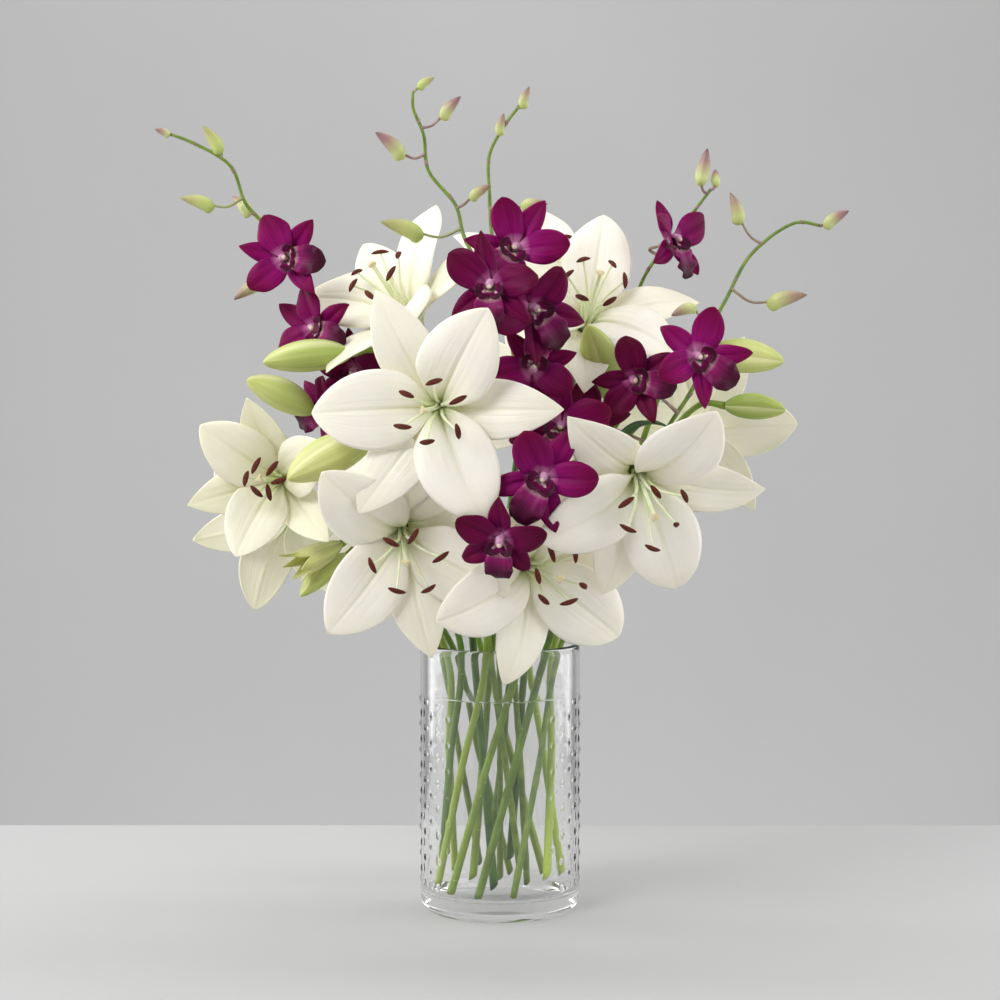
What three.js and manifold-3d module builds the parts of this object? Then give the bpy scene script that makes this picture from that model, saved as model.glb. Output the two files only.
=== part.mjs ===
// Lilies and orchids in a vase: a clear glass cylinder with cut stems standing in water.
// Millimetres, +Z up. The origin is the middle of the vase's flat foot, and -Y is the front of the bunch.
// Every bloom, bud, leaf and stem is one solid, cut back where a neighbour leans on it.
import * as THREE from 'three';
import { mergeVertices } from 'three/addons/utils/BufferGeometryUtils.js';
import Module from 'manifold-3d';

const wasm = await Module();
wasm.setup();

// Driving dimensions.
const VASE = { height: 187, radius: 55, wall: 4, foot: 45, heel: 9, floor: 13, steps: 36 };
const WATER_LEVEL = 151;
const GAP = 0.35; // clear space between pieces that touch
const LILY_STEM = 2.8; // radius
const SPRAY_STEM = 2.3; // radius at the cut end
const PEDICEL = 1.1; // radius of an orchid's flower stalk
const TEPAL = { claw: 3, thick: 1.6, inner: 0.58, outer: 0.42 }; // widths as shares of the length
const FILAMENT = { length: 50, splay: 21, radius: 0.9 };
const ORCHID = { length: 31, thick: 1.5 };
const RING = { outer: 43, inner: 19, twist: 68 }; // where the stems pass the mouth, and how far they wind to the foot

const rad = THREE.MathUtils.degToRad;
const vec = (p) => new THREE.Vector3(...p);

// Lilies: the place of the receptacle, the way the bloom faces (azimuth from the front towards +X, then
// elevation), the angle of its first outer tepal with what each of the six is off an even star, the tepals'
// length and the slope of their tips from the axis.
const LILIES = [
  { name: 'lily_front', at: [-39, -130, 357], az: -6, el: 0, spin: -4, off: [2, 6, 2, 4, 0, -4], length: 92, open: 88 },
  { name: 'lily_right', at: [88, -110, 315], az: 13, el: -28, spin: 6, off: [-3, -5, 8, 13, 8, -11], length: 92, open: 80 },
  { name: 'lily_low_left', at: [-65, -95, 276], az: 5, el: -20, spin: 38, off: [-2, 36, -64, 8, 3, 3], length: 92, open: 74 },
  { name: 'lily_low_middle', at: [14, -90, 250], az: 26, el: -4, spin: 19, off: [0, 0, 0, 5, 0, 0], length: 88, open: 98 },
  { name: 'lily_left', at: [-144, -72, 305], az: -12, el: 4, spin: 85, off: [15, -4, -6, -17, -7, -5], length: 73, open: 54 },
  { name: 'lily_top_left', at: [-56, -30, 405], az: -46, el: 44, spin: 26, off: [0, 0, 0, -10, 0, 0], length: 87, open: 76 },
  { name: 'lily_top_right', at: [57, -20, 402], az: 12, el: 42, spin: 15, off: [-12, 0, 0, -8, 0, 0], length: 84, open: 88 },
  { name: 'lily_top_middle', at: [27, 30, 418], az: 21, el: 52, spin: 15, off: [12, 0, 0, 0, 0, 0], length: 80, open: 88 },
  { name: 'lily_back_right', at: [133, 50, 329], az: 158, el: 4, spin: 0, off: [0, 10, 0, 0, 0, -10], length: 79, open: 84 },
  { name: 'lily_back_left', at: [-144, 10, 273], az: -152, el: -14, spin: -10, off: [0, 0, 0, 0, 0, 0], length: 74, open: 72 },
  { name: 'lily_back', at: [28, 112, 352], az: 172, el: 12, spin: 20, off: [0, 4, -3, 0, 5, 0], length: 92, open: 88 },
  { name: 'lily_low_back', at: [-58, 92, 282], az: -162, el: -14, spin: 40, off: [3, 0, -5, 0, 4, 0], length: 92, open: 80 },
];

// Lily buds: the end of the stalk and the tip.
const BUDS = [
  { name: 'bud_left', base: [-98, -60, 388], tip: [-156, -85, 383], radius: 11.5 },
  { name: 'bud_left_lower', base: [-124, -46, 348], tip: [-168, -68, 371], radius: 11.5 },
  { name: 'bud_left_front', base: [-83, -108, 334], tip: [-136, -148, 311], radius: 14 },
  { name: 'bud_low_left', base: [-105, -70, 262], tip: [-139, -100, 247], radius: 8.5 },
  { name: 'bud_low_left_small', base: [-101, -62, 254], tip: [-132, -92, 229], radius: 7.5 },
  { name: 'bud_middle', base: [76, -42, 356], tip: [58, -76, 407], radius: 14 },
  { name: 'bud_right_upper', base: [140, -20, 386], tip: [191, -40, 382], radius: 12.5 },
  { name: 'bud_right_lower', base: [151, -38, 352], tip: [191, -55, 350], radius: 9.5 },
];

// Orchid blooms: the place of the column, the way the bloom faces, and the way its lip points, turned from +X.
const ORCHIDS = [
  { name: 'orchid_left_1', at: [-142, -45, 451], az: -12, el: 5, lip: -5 },
  { name: 'orchid_left_2', at: [-121, -42, 403], az: -30, el: 10, lip: -20 },
  { name: 'orchid_left_3', at: [-96, -34, 374], az: -20, el: 0, lip: 270 },
  { name: 'orchid_left_4', at: [-113, -42, 350], az: -35, el: -10, lip: 200 },
  { name: 'orchid_top_1', at: [8, -125, 457], az: 8, el: 12, lip: 230 },
  { name: 'orchid_top_2', at: [-6, -156, 434], az: -5, el: 3, lip: 270 },
  { name: 'orchid_top_3', at: [20, -126, 419], az: 25, el: 0, lip: 305 },
  { name: 'orchid_top_4', at: [21, -118, 382], az: 5, el: 0, lip: 80 },
  { name: 'orchid_right_1', at: [90, -92, 372], az: -8, el: 0, lip: -10 },
  { name: 'orchid_right_2', at: [129, -108, 387], az: 5, el: 5, lip: -38 },
  { name: 'orchid_right_3', at: [58, -64, 344], az: -5, el: 0, lip: 200 },
  { name: 'orchid_right_top', at: [114, -12, 461], az: 52, el: 16, lip: 270 },
  { name: 'orchid_front_1', at: [39, -112, 341], az: 0, el: 10, lip: 255 },
  { name: 'orchid_front_2', at: [27, -158, 313], az: 0, el: -5, lip: 240 },
  { name: 'orchid_front_3', at: [1, -158, 275], az: -10, el: -28, lip: 265 },
];

// Lily stems: the angle at which each passes the mouth, its ring, the height of the cut end, a bend on the way
// up where one is needed, the bloom it carries, and the buds on side stalks that leave it at fork.
const LILY_STEMS = [
  { name: 'stem_lily_front', mouth: -102, foot: 20, bend: [-22, -66, 300], bloom: 'lily_front' },
  { name: 'stem_lily_right', mouth: -42, foot: 16, bend: [62, -58, 280], bloom: 'lily_right' },
  { name: 'stem_lily_low_left', mouth: -128, foot: 31, bend: [-48, -50, 246], bloom: 'lily_low_left',
    fork: [-46, -48, 240], buds: ['bud_low_left', 'bud_low_left_small'] },
  { name: 'stem_lily_low_middle', mouth: -72, foot: 17, bend: [8, -54, 226], bloom: 'lily_low_middle' },
  { name: 'stem_lily_left', mouth: 207, foot: 24, bend: [-110, -38, 272], bloom: 'lily_left',
    fork: [-62, -28, 238], buds: ['bud_left_front'] },
  { name: 'stem_lily_top_left', ring: 'inner', mouth: 190, foot: 19, bend: [-34, -14, 330], bloom: 'lily_top_left',
    fork: [-34, -14, 318], buds: ['bud_left'] },
  { name: 'stem_lily_top_right', ring: 'inner', mouth: 0, foot: 34, bend: [44, -6, 330], bloom: 'lily_top_right',
    fork: [40, -5, 300], buds: ['bud_middle'] },
  { name: 'stem_lily_top_middle', ring: 'inner', mouth: 105, foot: 22, bend: [14, 36, 330], bloom: 'lily_top_middle' },
  { name: 'stem_lily_back_right', mouth: 25, foot: 28, bend: [88, 24, 290], bloom: 'lily_back_right',
    fork: [84, 22, 286], buds: ['bud_right_upper', 'bud_right_lower'] },
  { name: 'stem_lily_back_left', mouth: 148, foot: 18, bend: [-92, 20, 246], bloom: 'lily_back_left' },
  { name: 'stem_lily_back', mouth: 64, foot: 26, bend: [26, 66, 300], bloom: 'lily_back' },
  { name: 'stem_lily_low_back', mouth: 112, foot: 21, bend: [-34, 62, 240], bloom: 'lily_low_back',
    fork: [-30, 56, 228], buds: ['bud_left_lower'], by: [-86, 26, 318] },
];

// Orchid sprays: as above, with the stem's points above the mouth, the blooms on it, and its own small buds,
// each from its stalk's end to its tip.
const SPRAYS = [
  { name: 'spray_left', mouth: 178, foot: 25,
    points: [[-78, 2, 290], [-112, -14, 380], [-135, -24, 436], [-159, -20, 473], [-172, -20, 488], [-182, -20, 513],
      [-208, -25, 529], [-221, -25, 534]],
    blooms: ['orchid_left_1', 'orchid_left_2', 'orchid_left_3', 'orchid_left_4'],
    buds: [[[-222, -25, 534], [-232, -28, 538]], [[-187, -21, 522], [-200, -24, 541]], [[-193, -20, 486], [-216, -24, 493]],
      [[-169, -14, 481], [-182, -2, 494]], [[-160, -33, 436], [-180, -38, 424]]] },
  { name: 'spray_top_left', ring: 'inner', mouth: 248, foot: 30,
    points: [[-14, -60, 300], [-6, -92, 380], [-8, -102, 431], [-17, -100, 452], [-24, -95, 467], [-29, -90, 486],
      [-47, -85, 509], [-50, -85, 532], [-57, -85, 550], [-57, -85, 560]],
    blooms: ['orchid_top_1', 'orchid_top_2'],
    buds: [[[-54, -85, 563], [-43, -86, 570]], [[-39, -85, 543], [-26, -88, 558]], [[-62, -85, 518], [-81, -90, 535]],
      [[-50, -92, 467], [-78, -98, 477]], [[-20, -92, 491], [-6, -96, 500]]] },
  { name: 'spray_top', ring: 'inner', mouth: 300, foot: 18,
    points: [[18, -48, 300], [10, -70, 380], [3, -62, 424], [-5, -50, 463], [-7, -45, 493], [-7, -40, 520], [2, -40, 538],
      [14, -42, 554]],
    blooms: ['orchid_top_3', 'orchid_top_4'],
    buds: [[[14, -42, 551], [19, -42, 566]], [[-1, -40, 533], [2, -42, 548]], [[14, -60, 487], [32, -66, 488]],
      [[24, -75, 459], [45, -80, 466]]] },
  { name: 'spray_right_top', ring: 'inner', mouth: 50, foot: 27,
    points: [[60, 14, 300], [80, 6, 380], [99, -2, 439], [114, -2, 460], [130, -4, 480], [143, -5, 497]],
    blooms: ['orchid_right_top'],
    buds: [[[136, -5, 500], [141, -6, 526]], [[147, -4, 500], [147, 6, 512]]] },
  { name: 'spray_right', mouth: -10, foot: 17,
    points: [[84, -24, 270], [108, -50, 330], [132, -44, 369], [145, -34, 409], [153, -28, 424], [170, -25, 454],
      [200, -25, 475], [216, -25, 473]],
    blooms: ['orchid_right_1', 'orchid_right_2', 'orchid_right_3'],
    buds: [[[218, -25, 473], [235, -28, 484]], [[163, -26, 474], [156, -26, 496]], [[180, -30, 421], [207, -34, 428]],
      [[130, -60, 420], [113, -66, 414]]] },
  { name: 'spray_front', ring: 'centre', mouth: 0, foot: 22,
    points: [[8, -40, 270], [24, -82, 326], [36, -118, 334], [34, -134, 318], [14, -142, 296]],
    blooms: ['orchid_front_1', 'orchid_front_2', 'orchid_front_3'], buds: [] },
];

// Leaves left on the stems: base, tip, the way the blade bows, and width.
const LEAVES = [
  { name: 'leaf_front', base: [-21, -58, 290], tip: [-50, -112, 312], bow: [0, 0, 14], width: 15 },
  { name: 'leaf_right', base: [66, -28, 300], tip: [112, -70, 340], bow: [0, 0, 16], width: 16 },
  { name: 'leaf_back_left', base: [-66, 34, 226], tip: [-118, 62, 300], bow: [-14, 6, 0], width: 17 },
  { name: 'leaf_back_right', base: [58, 60, 252], tip: [106, 104, 300], bow: [10, 8, 0], width: 17 },
];

// ---- solids ----

// A three.js geometry as a manifold solid.
function solid(geometry) {
  const bare = geometry.index ? geometry.toNonIndexed() : geometry.clone();
  for (const key of Object.keys(bare.attributes)) if (key !== 'position') bare.deleteAttribute(key);
  const merged = mergeVertices(bare, 1e-3);
  return new wasm.Manifold(new wasm.Mesh({
    numProp: 3,
    vertProperties: merged.attributes.position.array,
    triVerts: new Uint32Array(merged.index.array),
  }));
}

function geometryOf(made) {
  const mesh = made.getMesh();
  const geometry = new THREE.BufferGeometry();
  geometry.setAttribute('position', new THREE.BufferAttribute(mesh.vertProperties, 3));
  geometry.setIndex(new THREE.BufferAttribute(mesh.triVerts, 1));
  return geometry;
}

const joined = (solids) => solids.reduce((all, one) => all.add(one));

// The largest of the bodies a cut leaves, because what is cut off has nothing to hold it.
const largest = (made) => made.decompose().sort((a, b) => b.volume() - a.volume())[0];

// Moves every vertex of a geometry by a rule.
function bent(geometry, rule) {
  const place = geometry.attributes.position;
  for (let i = 0; i < place.count; i += 1) {
    const p = rule(place.getX(i), place.getY(i), place.getZ(i));
    place.setXYZ(i, p.x, p.y, p.z);
  }
  return geometry;
}

// A tube through points, its radius going evenly from one end's to the other's.
function tube(points, radius, steps, sides = 6, endRadius = radius) {
  const path = new THREE.CatmullRomCurve3(points, false, 'centripetal');
  const section = new THREE.Shape();
  for (let i = 0; i < sides; i += 1) {
    const angle = (i / sides) * 2 * Math.PI;
    const x = radius * Math.cos(angle);
    const y = radius * Math.sin(angle);
    if (i) section.lineTo(x, y); else section.moveTo(x, y);
  }
  section.closePath();
  const geometry = new THREE.ExtrudeGeometry(section, { steps, extrudePath: path, curveSegments: 1 });
  if (endRadius !== radius) {
    const rings = path.getSpacedPoints(steps);
    bent(geometry, (x, y, z) => {
      const p = new THREE.Vector3(x, y, z);
      const near = rings.reduce((best, q, i) => (q.distanceTo(p) < rings[best].distanceTo(p) ? i : best), 0);
      const share = 1 + (endRadius / radius - 1) * (near / steps);
      return p.sub(rings[near]).multiplyScalar(share).add(rings[near]);
    });
  }
  return solid(geometry);
}

// The frame of a bloom: +Z the way it faces, +Y up its face, turned by spin about its own axis.
function facing({ at, az, el }, spin = 0) {
  const a = rad(az);
  const e = rad(el);
  const z = new THREE.Vector3(Math.sin(a) * Math.cos(e), -Math.cos(a) * Math.cos(e), Math.sin(e));
  const x = new THREE.Vector3(0, 0, 1).cross(z).normalize();
  const y = z.clone().cross(x);
  return new THREE.Matrix4().makeBasis(x, y, z).multiply(new THREE.Matrix4().makeRotationZ(rad(spin)))
    .premultiply(new THREE.Matrix4().makeTranslation(...at));
}

// The line down the middle of a petal: out from the axis by r and forward by h, with its slope from the axis
// going from one angle to another, fast at first.
function spine(length, from, to, steps = 24) {
  const line = [{ r: 0, h: 0, slope: rad(from) }];
  for (let i = 1; i <= steps; i += 1) {
    const t = i / steps;
    const slope = rad(from + (to - from) * t * (2 - t));
    const last = line[i - 1];
    const middle = (slope + last.slope) / 2;
    line.push({
      r: last.r + (Math.sin(middle) * length) / steps,
      h: last.h + (Math.cos(middle) * length) / steps,
      slope,
    });
  }
  return (t) => line[Math.round(t * steps)];
}

// A petal as a closed sheet that leaves the axis along +X: a flat box bent along its spine, wrapped round the
// axis where it is steep, as the wall of a trumpet is, and folded a little at the midrib. It starts at start
// from the axis and at back along it, and is widest at belly, a share of its length.
function petal({ length, width, from, to, thick, claw, start, back = 0, belly = 0.5, fold, across = 2, along = 4, grow }) {
  const line = spine(length, from, to);
  return bent(new THREE.BoxGeometry(2, 1, 1, across, along, 1), (u, v, w) => {
    const t = v + 0.5;
    const here = line(t);
    const full = t < 1 ? Math.sin(Math.PI * t ** (Math.log(0.5) / Math.log(belly))) ** 0.8 : 0;
    const half = claw / 2 + (width / 2 - claw / 4) * full + grow;
    const lift = fold * half * Math.abs(u) * (1 - 0.8 * t) + w * (thick + 2 * grow);
    const r = start + here.r - Math.cos(here.slope) * lift;
    const turn = u * Math.min(half / r, rad(54));
    const wrap = Math.max(0, Math.cos(here.slope));
    return new THREE.Vector3(
      r * (1 + (Math.cos(turn) - 1) * wrap),
      -(r * Math.sin(turn) * wrap + u * half * (1 - wrap)),
      back + here.h + Math.sin(here.slope) * lift,
    );
  });
}

// ---- pieces, each made at its own size or grown by a margin to cut its neighbours ----

function lilyBloom(lily, grow) {
  const parts = [solid(new THREE.CylinderGeometry(6 + grow, 4.5 + grow, 13 + 2 * grow, 6).rotateX(Math.PI / 2)
    .translate(0, 0, 2.5))];
  for (let i = 0; i < 6; i += 1) {
    const outer = i % 2 === 0;
    parts.push(solid(petal({
      length: lily.length,
      width: lily.length * (outer ? TEPAL.outer : TEPAL.inner),
      from: outer ? 26 : 18,
      to: lily.open,
      thick: TEPAL.thick,
      claw: TEPAL.claw,
      start: outer ? 3 : 2,
      back: outer ? -3 : 2.5,
      fold: outer ? 0.1 : 0.25,
      grow,
    }).rotateZ(rad(60 * i + lily.off[i]))));
  }
  for (let i = 0; i < 6; i += 1) {
    parts.push(solid(new THREE.CylinderGeometry(2 * FILAMENT.radius + grow, FILAMENT.radius + grow, FILAMENT.length, 3)
      .translate(0, FILAMENT.length / 2, 0).rotateX(Math.PI / 2).rotateY(rad(FILAMENT.splay)).translate(2.4, 0, 8)
      .rotateZ(rad(60 * i + 30))));
  }
  const reach = FILAMENT.length * Math.cos(rad(FILAMENT.splay)) + 8;
  parts.push(solid(new THREE.CylinderGeometry(2.6 + grow, 1.2 + grow, reach, 5).rotateX(Math.PI / 2)
    .translate(0, 0, 8 + reach / 2)));
  return joined(parts).transform(facing(lily, lily.spin).elements);
}

function orchidBloom(orchid, grow) {
  const size = ORCHID.length;
  const sheet = (angle, more) => solid(petal({
    length: size, width: size * 0.44, from: 64, to: 96, thick: ORCHID.thick, claw: 3, start: 2, back: -1,
    fold: 0, across: 1, along: 2, grow, ...more,
  }).rotateZ(rad(angle)));
  const side = { width: size * 0.78, back: 1.5, belly: 0.6, fold: 0.1, across: 2 };
  const lip = { length: size * 0.8, width: size * 0.62, from: 24, to: 78, belly: 0.6, fold: 0.4, across: 2, along: 3 };
  const parts = [
    solid(new THREE.CylinderGeometry(4 + grow, 3 + grow, 8 + 2 * grow, 5).rotateX(Math.PI / 2).translate(0, 0, -1)),
    sheet(90), sheet(152, side), sheet(28, side), sheet(218), sheet(322), sheet(270, lip),
  ];
  return joined(parts).transform(facing(orchid, orchid.lip + 90).elements);
}

// A bud between two points: a round-shouldered spindle.
function budSolid({ base, tip, radius }, grow, sides, rings) {
  const from = vec(base);
  const along = vec(tip).sub(from);
  const length = along.length();
  const turn = new THREE.Quaternion().setFromUnitVectors(new THREE.Vector3(0, 1, 0), along.normalize());
  const spindle = bent(new THREE.SphereGeometry(1, sides, rings), (x, y, z) => {
    const taper = 1 - 0.22 * y;
    return new THREE.Vector3(x * taper * (radius + grow), y * (length / 2 + grow), z * taper * (radius + grow));
  });
  const centre = from.addScaledVector(along, length / 2);
  return solid(spindle.applyQuaternion(turn).translate(centre.x, centre.y, centre.z));
}

function leafSolid({ base, tip, bow, width }, grow) {
  const from = vec(base);
  const along = vec(tip).sub(from);
  const side = along.clone().cross(vec(bow)).normalize();
  const up = side.clone().cross(along).normalize();
  return solid(bent(new THREE.BoxGeometry(2, 1, 1, 2, 4, 1), (u, v, w) => {
    const t = v + 0.5;
    const half = 1 + (width / 2) * Math.sin(Math.PI * t ** 0.8) * (t < 1 ? 1 : 0) + grow;
    return from.clone().addScaledVector(along, t).addScaledVector(vec(bow), Math.sin(Math.PI * t))
      .addScaledVector(side, u * half).addScaledVector(up, w * (1.5 + 2 * grow) + 0.25 * half * Math.abs(u));
  }));
}

// The stem's points from its cut end to the mouth. All stems of a ring wind the same way, so none cross.
function belowMouth({ ring = 'outer', mouth, foot }) {
  const radius = { outer: RING.outer, inner: RING.inner, centre: 0 }[ring];
  const twist = ring === 'outer' ? RING.twist : -RING.twist;
  const top = new THREE.Vector3(radius * Math.cos(rad(mouth)), radius * Math.sin(rad(mouth)), VASE.height);
  const low = new THREE.Vector3(radius * Math.cos(rad(mouth - twist)), radius * Math.sin(rad(mouth - twist)), foot);
  return [low, low.clone().lerp(top, 0.5), top];
}

const lilyNamed = (name) => LILIES.find((lily) => lily.name === name);
const budNamed = (name) => BUDS.find((bud) => bud.name === name);
const orchidNamed = (name) => ORCHIDS.find((orchid) => orchid.name === name);

// A point on a bloom's axis, behind it.
const behind = (bloom, distance) => new THREE.Vector3(0, 0, -distance).applyMatrix4(facing(bloom));

function lilyStem(stem, grow) {
  const lily = lilyNamed(stem.bloom);
  const path = [...belowMouth(stem), vec(stem.bend), behind(lily, 24), behind(lily, 0.5)];
  const parts = [tube(path, LILY_STEM + grow, 10, 5, LILY_STEM * 0.75 + grow)];
  for (const name of stem.buds ?? []) {
    const bud = budNamed(name);
    const back = vec(bud.base).sub(vec(bud.tip)).normalize();
    const by = stem.by ? [vec(stem.by)] : [];
    const stalk = [vec(stem.fork), ...by, vec(bud.base).addScaledVector(back, 16), vec(bud.base).addScaledVector(back, 0.5)];
    parts.push(tube(stalk, 2.2 + grow, 3, 4));
  }
  return joined(parts);
}

function spray(spec, grow) {
  const path = [...belowMouth(spec), ...spec.points.map(vec)];
  const parts = [tube(path, SPRAY_STEM + grow, 13, 5, SPRAY_STEM * 0.5 + grow)];
  const line = new THREE.CatmullRomCurve3(path, false, 'centripetal').getSpacedPoints(120);
  const nearest = (p) => line.reduce((best, q) => (q.distanceTo(p) < best.distanceTo(p) ? q : best));
  for (const name of spec.blooms) {
    const orchid = orchidNamed(name);
    const end = behind(orchid, 6);
    const back = behind(orchid, 16);
    parts.push(tube([nearest(back), back, end], PEDICEL + grow, 2, 4));
  }
  for (const [base, tip] of spec.buds) {
    const at = vec(base);
    const into = at.clone().lerp(vec(tip), 0.3);
    // A bud at the end of a stem would only touch it, so its stalk starts a little way inside.
    const root = nearest(at);
    const inside = root.clone().sub(at).setLength(2).add(root);
    parts.push(tube([inside, into], PEDICEL * 0.8 + grow, 1, 4));
    parts.push(budSolid({ base, tip, radius: vec(tip).distanceTo(at) * 0.2 + 1 }, grow, 6, 3));
  }
  return joined(parts);
}

// The vase's wall in section, from the axis under the foot round to the axis on the inner floor.
function vaseSolid() {
  const { height, radius, wall, foot, heel, floor, steps } = VASE;
  const inner = radius - wall;
  const heelPoint = (angle) => new THREE.Vector2(foot + heel * Math.sin(angle) + 1, heel - heel * Math.cos(angle));
  const profile = [
    new THREE.Vector2(0, 0), new THREE.Vector2(foot, 0), heelPoint(Math.PI / 4), heelPoint(Math.PI / 2),
    new THREE.Vector2(radius, height - 1.5), new THREE.Vector2(radius - wall / 2, height),
    new THREE.Vector2(inner, height - 1.5), new THREE.Vector2(inner, floor + 6),
    new THREE.Vector2(inner - 4, floor + 1), new THREE.Vector2(0, floor),
  ];
  return solid(new THREE.LatheGeometry(profile, steps).rotateX(Math.PI / 2));
}

// The water: what fills the vase to its level, less the stems that stand in it.
function waterSolid(cutters) {
  const { radius, wall, floor, steps } = VASE;
  const inner = radius - wall - GAP;
  const profile = [
    new THREE.Vector2(0, floor + GAP), new THREE.Vector2(inner - 4, floor + 1 + GAP),
    new THREE.Vector2(inner, floor + 6 + GAP), new THREE.Vector2(inner, WATER_LEVEL), new THREE.Vector2(0, WATER_LEVEL),
  ];
  const full = solid(new THREE.LatheGeometry(profile, steps).rotateX(Math.PI / 2));
  return largest(cutters.reduce((water, cutter) => water.subtract(cutter), full));
}

// ---- the bunch ----

const FINISH = {
  glass: { color: 0xf4f8f8, roughness: 0.03, metalness: 0 },
  water: { color: 0xe8f2f0, roughness: 0.02, metalness: 0 },
  lily: { color: 0xf3f0e4, roughness: 0.55, metalness: 0 },
  bud: { color: 0xb9c66a, roughness: 0.5, metalness: 0 },
  orchid: { color: 0x7a0f55, roughness: 0.5, metalness: 0 },
  stem: { color: 0x7fa043, roughness: 0.5, metalness: 0 },
  spray: { color: 0x8ba457, roughness: 0.5, metalness: 0 },
  leaf: { color: 0x3f6a2c, roughness: 0.5, metalness: 0 },
};
const materials = Object.fromEntries(
  Object.entries(FINISH).map(([name, look]) => [name, new THREE.MeshStandardMaterial(look)]),
);

const bunch = new THREE.Group();

function addMesh(name, made, finish, at = [0, 0, 0]) {
  const geometry = geometryOf(made.translate(-at[0], -at[1], -at[2]));
  const mesh = new THREE.Mesh(geometry, materials[finish]);
  mesh.name = name;
  mesh.position.set(...at);
  bunch.add(mesh);
}

// Each piece in turn is cut by those before it, grown by the gap, so that none overlap.
const cutters = [];
function addPiece(name, make, finish, at) {
  let made = make(0);
  for (const cutter of cutters) {
    if (cutter.box.intersectsBox(boxOf(made))) made = made.subtract(cutter.solid);
  }
  made = largest(made);
  addMesh(name, made, finish, at);
  const grown = make(GAP);
  cutters.push({ solid: grown, box: boxOf(grown) });
}

function boxOf(made) {
  const { min, max } = made.boundingBox();
  return new THREE.Box3(vec(min), vec(max));
}

addMesh('vase', vaseSolid(), 'glass');
for (const stem of LILY_STEMS) addPiece(stem.name, (grow) => lilyStem(stem, grow), 'stem');
for (const spec of SPRAYS) addPiece(spec.name, (grow) => spray(spec, grow), 'spray');
const standing = cutters.map((cutter) => cutter.solid);
for (const bud of BUDS) addPiece(bud.name, (grow) => budSolid(bud, grow, 9, 7), 'bud', bud.base);
for (const lily of LILIES) addPiece(lily.name, (grow) => lilyBloom(lily, grow), 'lily', lily.at);
for (const orchid of ORCHIDS) addPiece(orchid.name, (grow) => orchidBloom(orchid, grow), 'orchid', orchid.at);
for (const leaf of LEAVES) addPiece(leaf.name, (grow) => leafSolid(leaf, grow), 'leaf', leaf.base);
addMesh('water', waterSolid(standing), 'water');

export default bunch;
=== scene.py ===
"""Lilies and dendrobium orchids standing in a clear glass vase of water.

Run it as a script. Sizes are in millimetres where they are written and in metres in the scene; +Z is up, the
origin is the middle of the vase's foot and -Y is the front of the bunch.
"""
import math
import random

import bmesh
import bpy
from mathutils import Matrix, Vector


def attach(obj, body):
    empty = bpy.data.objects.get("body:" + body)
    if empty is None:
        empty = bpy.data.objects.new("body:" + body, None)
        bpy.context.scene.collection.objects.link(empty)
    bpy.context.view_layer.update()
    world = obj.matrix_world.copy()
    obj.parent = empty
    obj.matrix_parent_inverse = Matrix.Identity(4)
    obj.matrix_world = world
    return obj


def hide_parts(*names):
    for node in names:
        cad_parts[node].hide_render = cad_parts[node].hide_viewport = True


bl_info = {
    "name": "Lilies in a Vase",
    "version": (1, 0, 0),
    "blender": (4, 5, 0),
    "location": "View3D > Sidebar > Bouquet",
    "description": "Builds a bunch of lilies and orchids in a glass vase",
    "category": "Add Mesh",
}

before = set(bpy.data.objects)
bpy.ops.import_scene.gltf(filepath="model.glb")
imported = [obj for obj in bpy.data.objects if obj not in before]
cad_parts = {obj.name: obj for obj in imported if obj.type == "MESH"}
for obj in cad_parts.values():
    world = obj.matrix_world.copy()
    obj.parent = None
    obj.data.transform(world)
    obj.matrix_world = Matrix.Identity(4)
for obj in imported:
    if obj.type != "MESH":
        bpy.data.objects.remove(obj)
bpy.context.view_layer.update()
MM = 0.001
rad = math.radians

# Open lilies: the receptacle, the way the bloom faces (azimuth from the front towards +X, elevation), the turn
# of its first outer tepal, what each of the six tepals is off an even star and off the common slope of the
# tips, the tepals' length and that slope.
LILIES = {
    "lily_front": ((-39, -130, 357), -6, 0, -4, (2, 6, 2, 4, 0, -4), (0, -14, 0, 4, 4, 4), 92, 88),
    "lily_right": ((88, -110, 315), 13, -28, 6, (-3, -5, 8, 13, 8, -11), (0, 0, 4, -4, 6, 4), 92, 80),
    "lily_low_left": ((-65, -95, 276), 5, -20, 38, (-2, 36, -64, 8, 3, 3), (8, 10, 10, 0, 0, 0), 92, 74),
    "lily_low_middle": ((14, -90, 250), 26, -4, 19, (0, 0, 0, 5, 0, 0), (0, 0, 0, 4, 0, 0), 88, 98),
    "lily_left": ((-144, -72, 305), -12, 4, 85, (15, -4, -6, -17, -7, -5), (0, 4, 0, 6, 8, 0), 73, 54),
    "lily_top_left": ((-56, -30, 405), -46, 44, 26, (0, 0, 0, -10, 0, 0), (0, 0, 0, 0, 0, 0), 87, 76),
    "lily_top_right": ((57, -20, 402), 12, 42, 15, (-12, 0, 0, -8, 0, 0), (0, -6, 0, 0, 0, 0), 84, 88),
    "lily_top_middle": ((27, 30, 418), 21, 52, 15, (12, 0, 0, 0, 0, 0), (0, 0, 0, 0, 0, 0), 80, 88),
    "lily_back_right": ((133, 50, 329), 158, 4, 0, (0, 10, 0, 0, 0, -10), (0, 0, 0, 0, 0, 0), 79, 84),
    "lily_back_left": ((-144, 10, 273), -152, -14, -10, (0, 0, 0, 0, 0, 0), (0, 4, 0, 0, 4, 0), 74, 72),
    "lily_back": ((28, 112, 352), 172, 12, 20, (0, 4, -3, 0, 5, 0), (0, -8, 0, 0, 6, 0), 92, 88),
    "lily_low_back": ((-58, 92, 282), -162, -14, 40, (3, 0, -5, 0, 4, 0), (0, 5, 0, -6, 0, 0), 92, 80),
}

# How much of the bud's green the younger lilies keep, and the rest.
YOUNG = {"lily_left": 0.26, "lily_back_left": 0.22, "lily_back_right": 0.18, "lily_top_left": 0.16}
GROWN = 0.02

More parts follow.
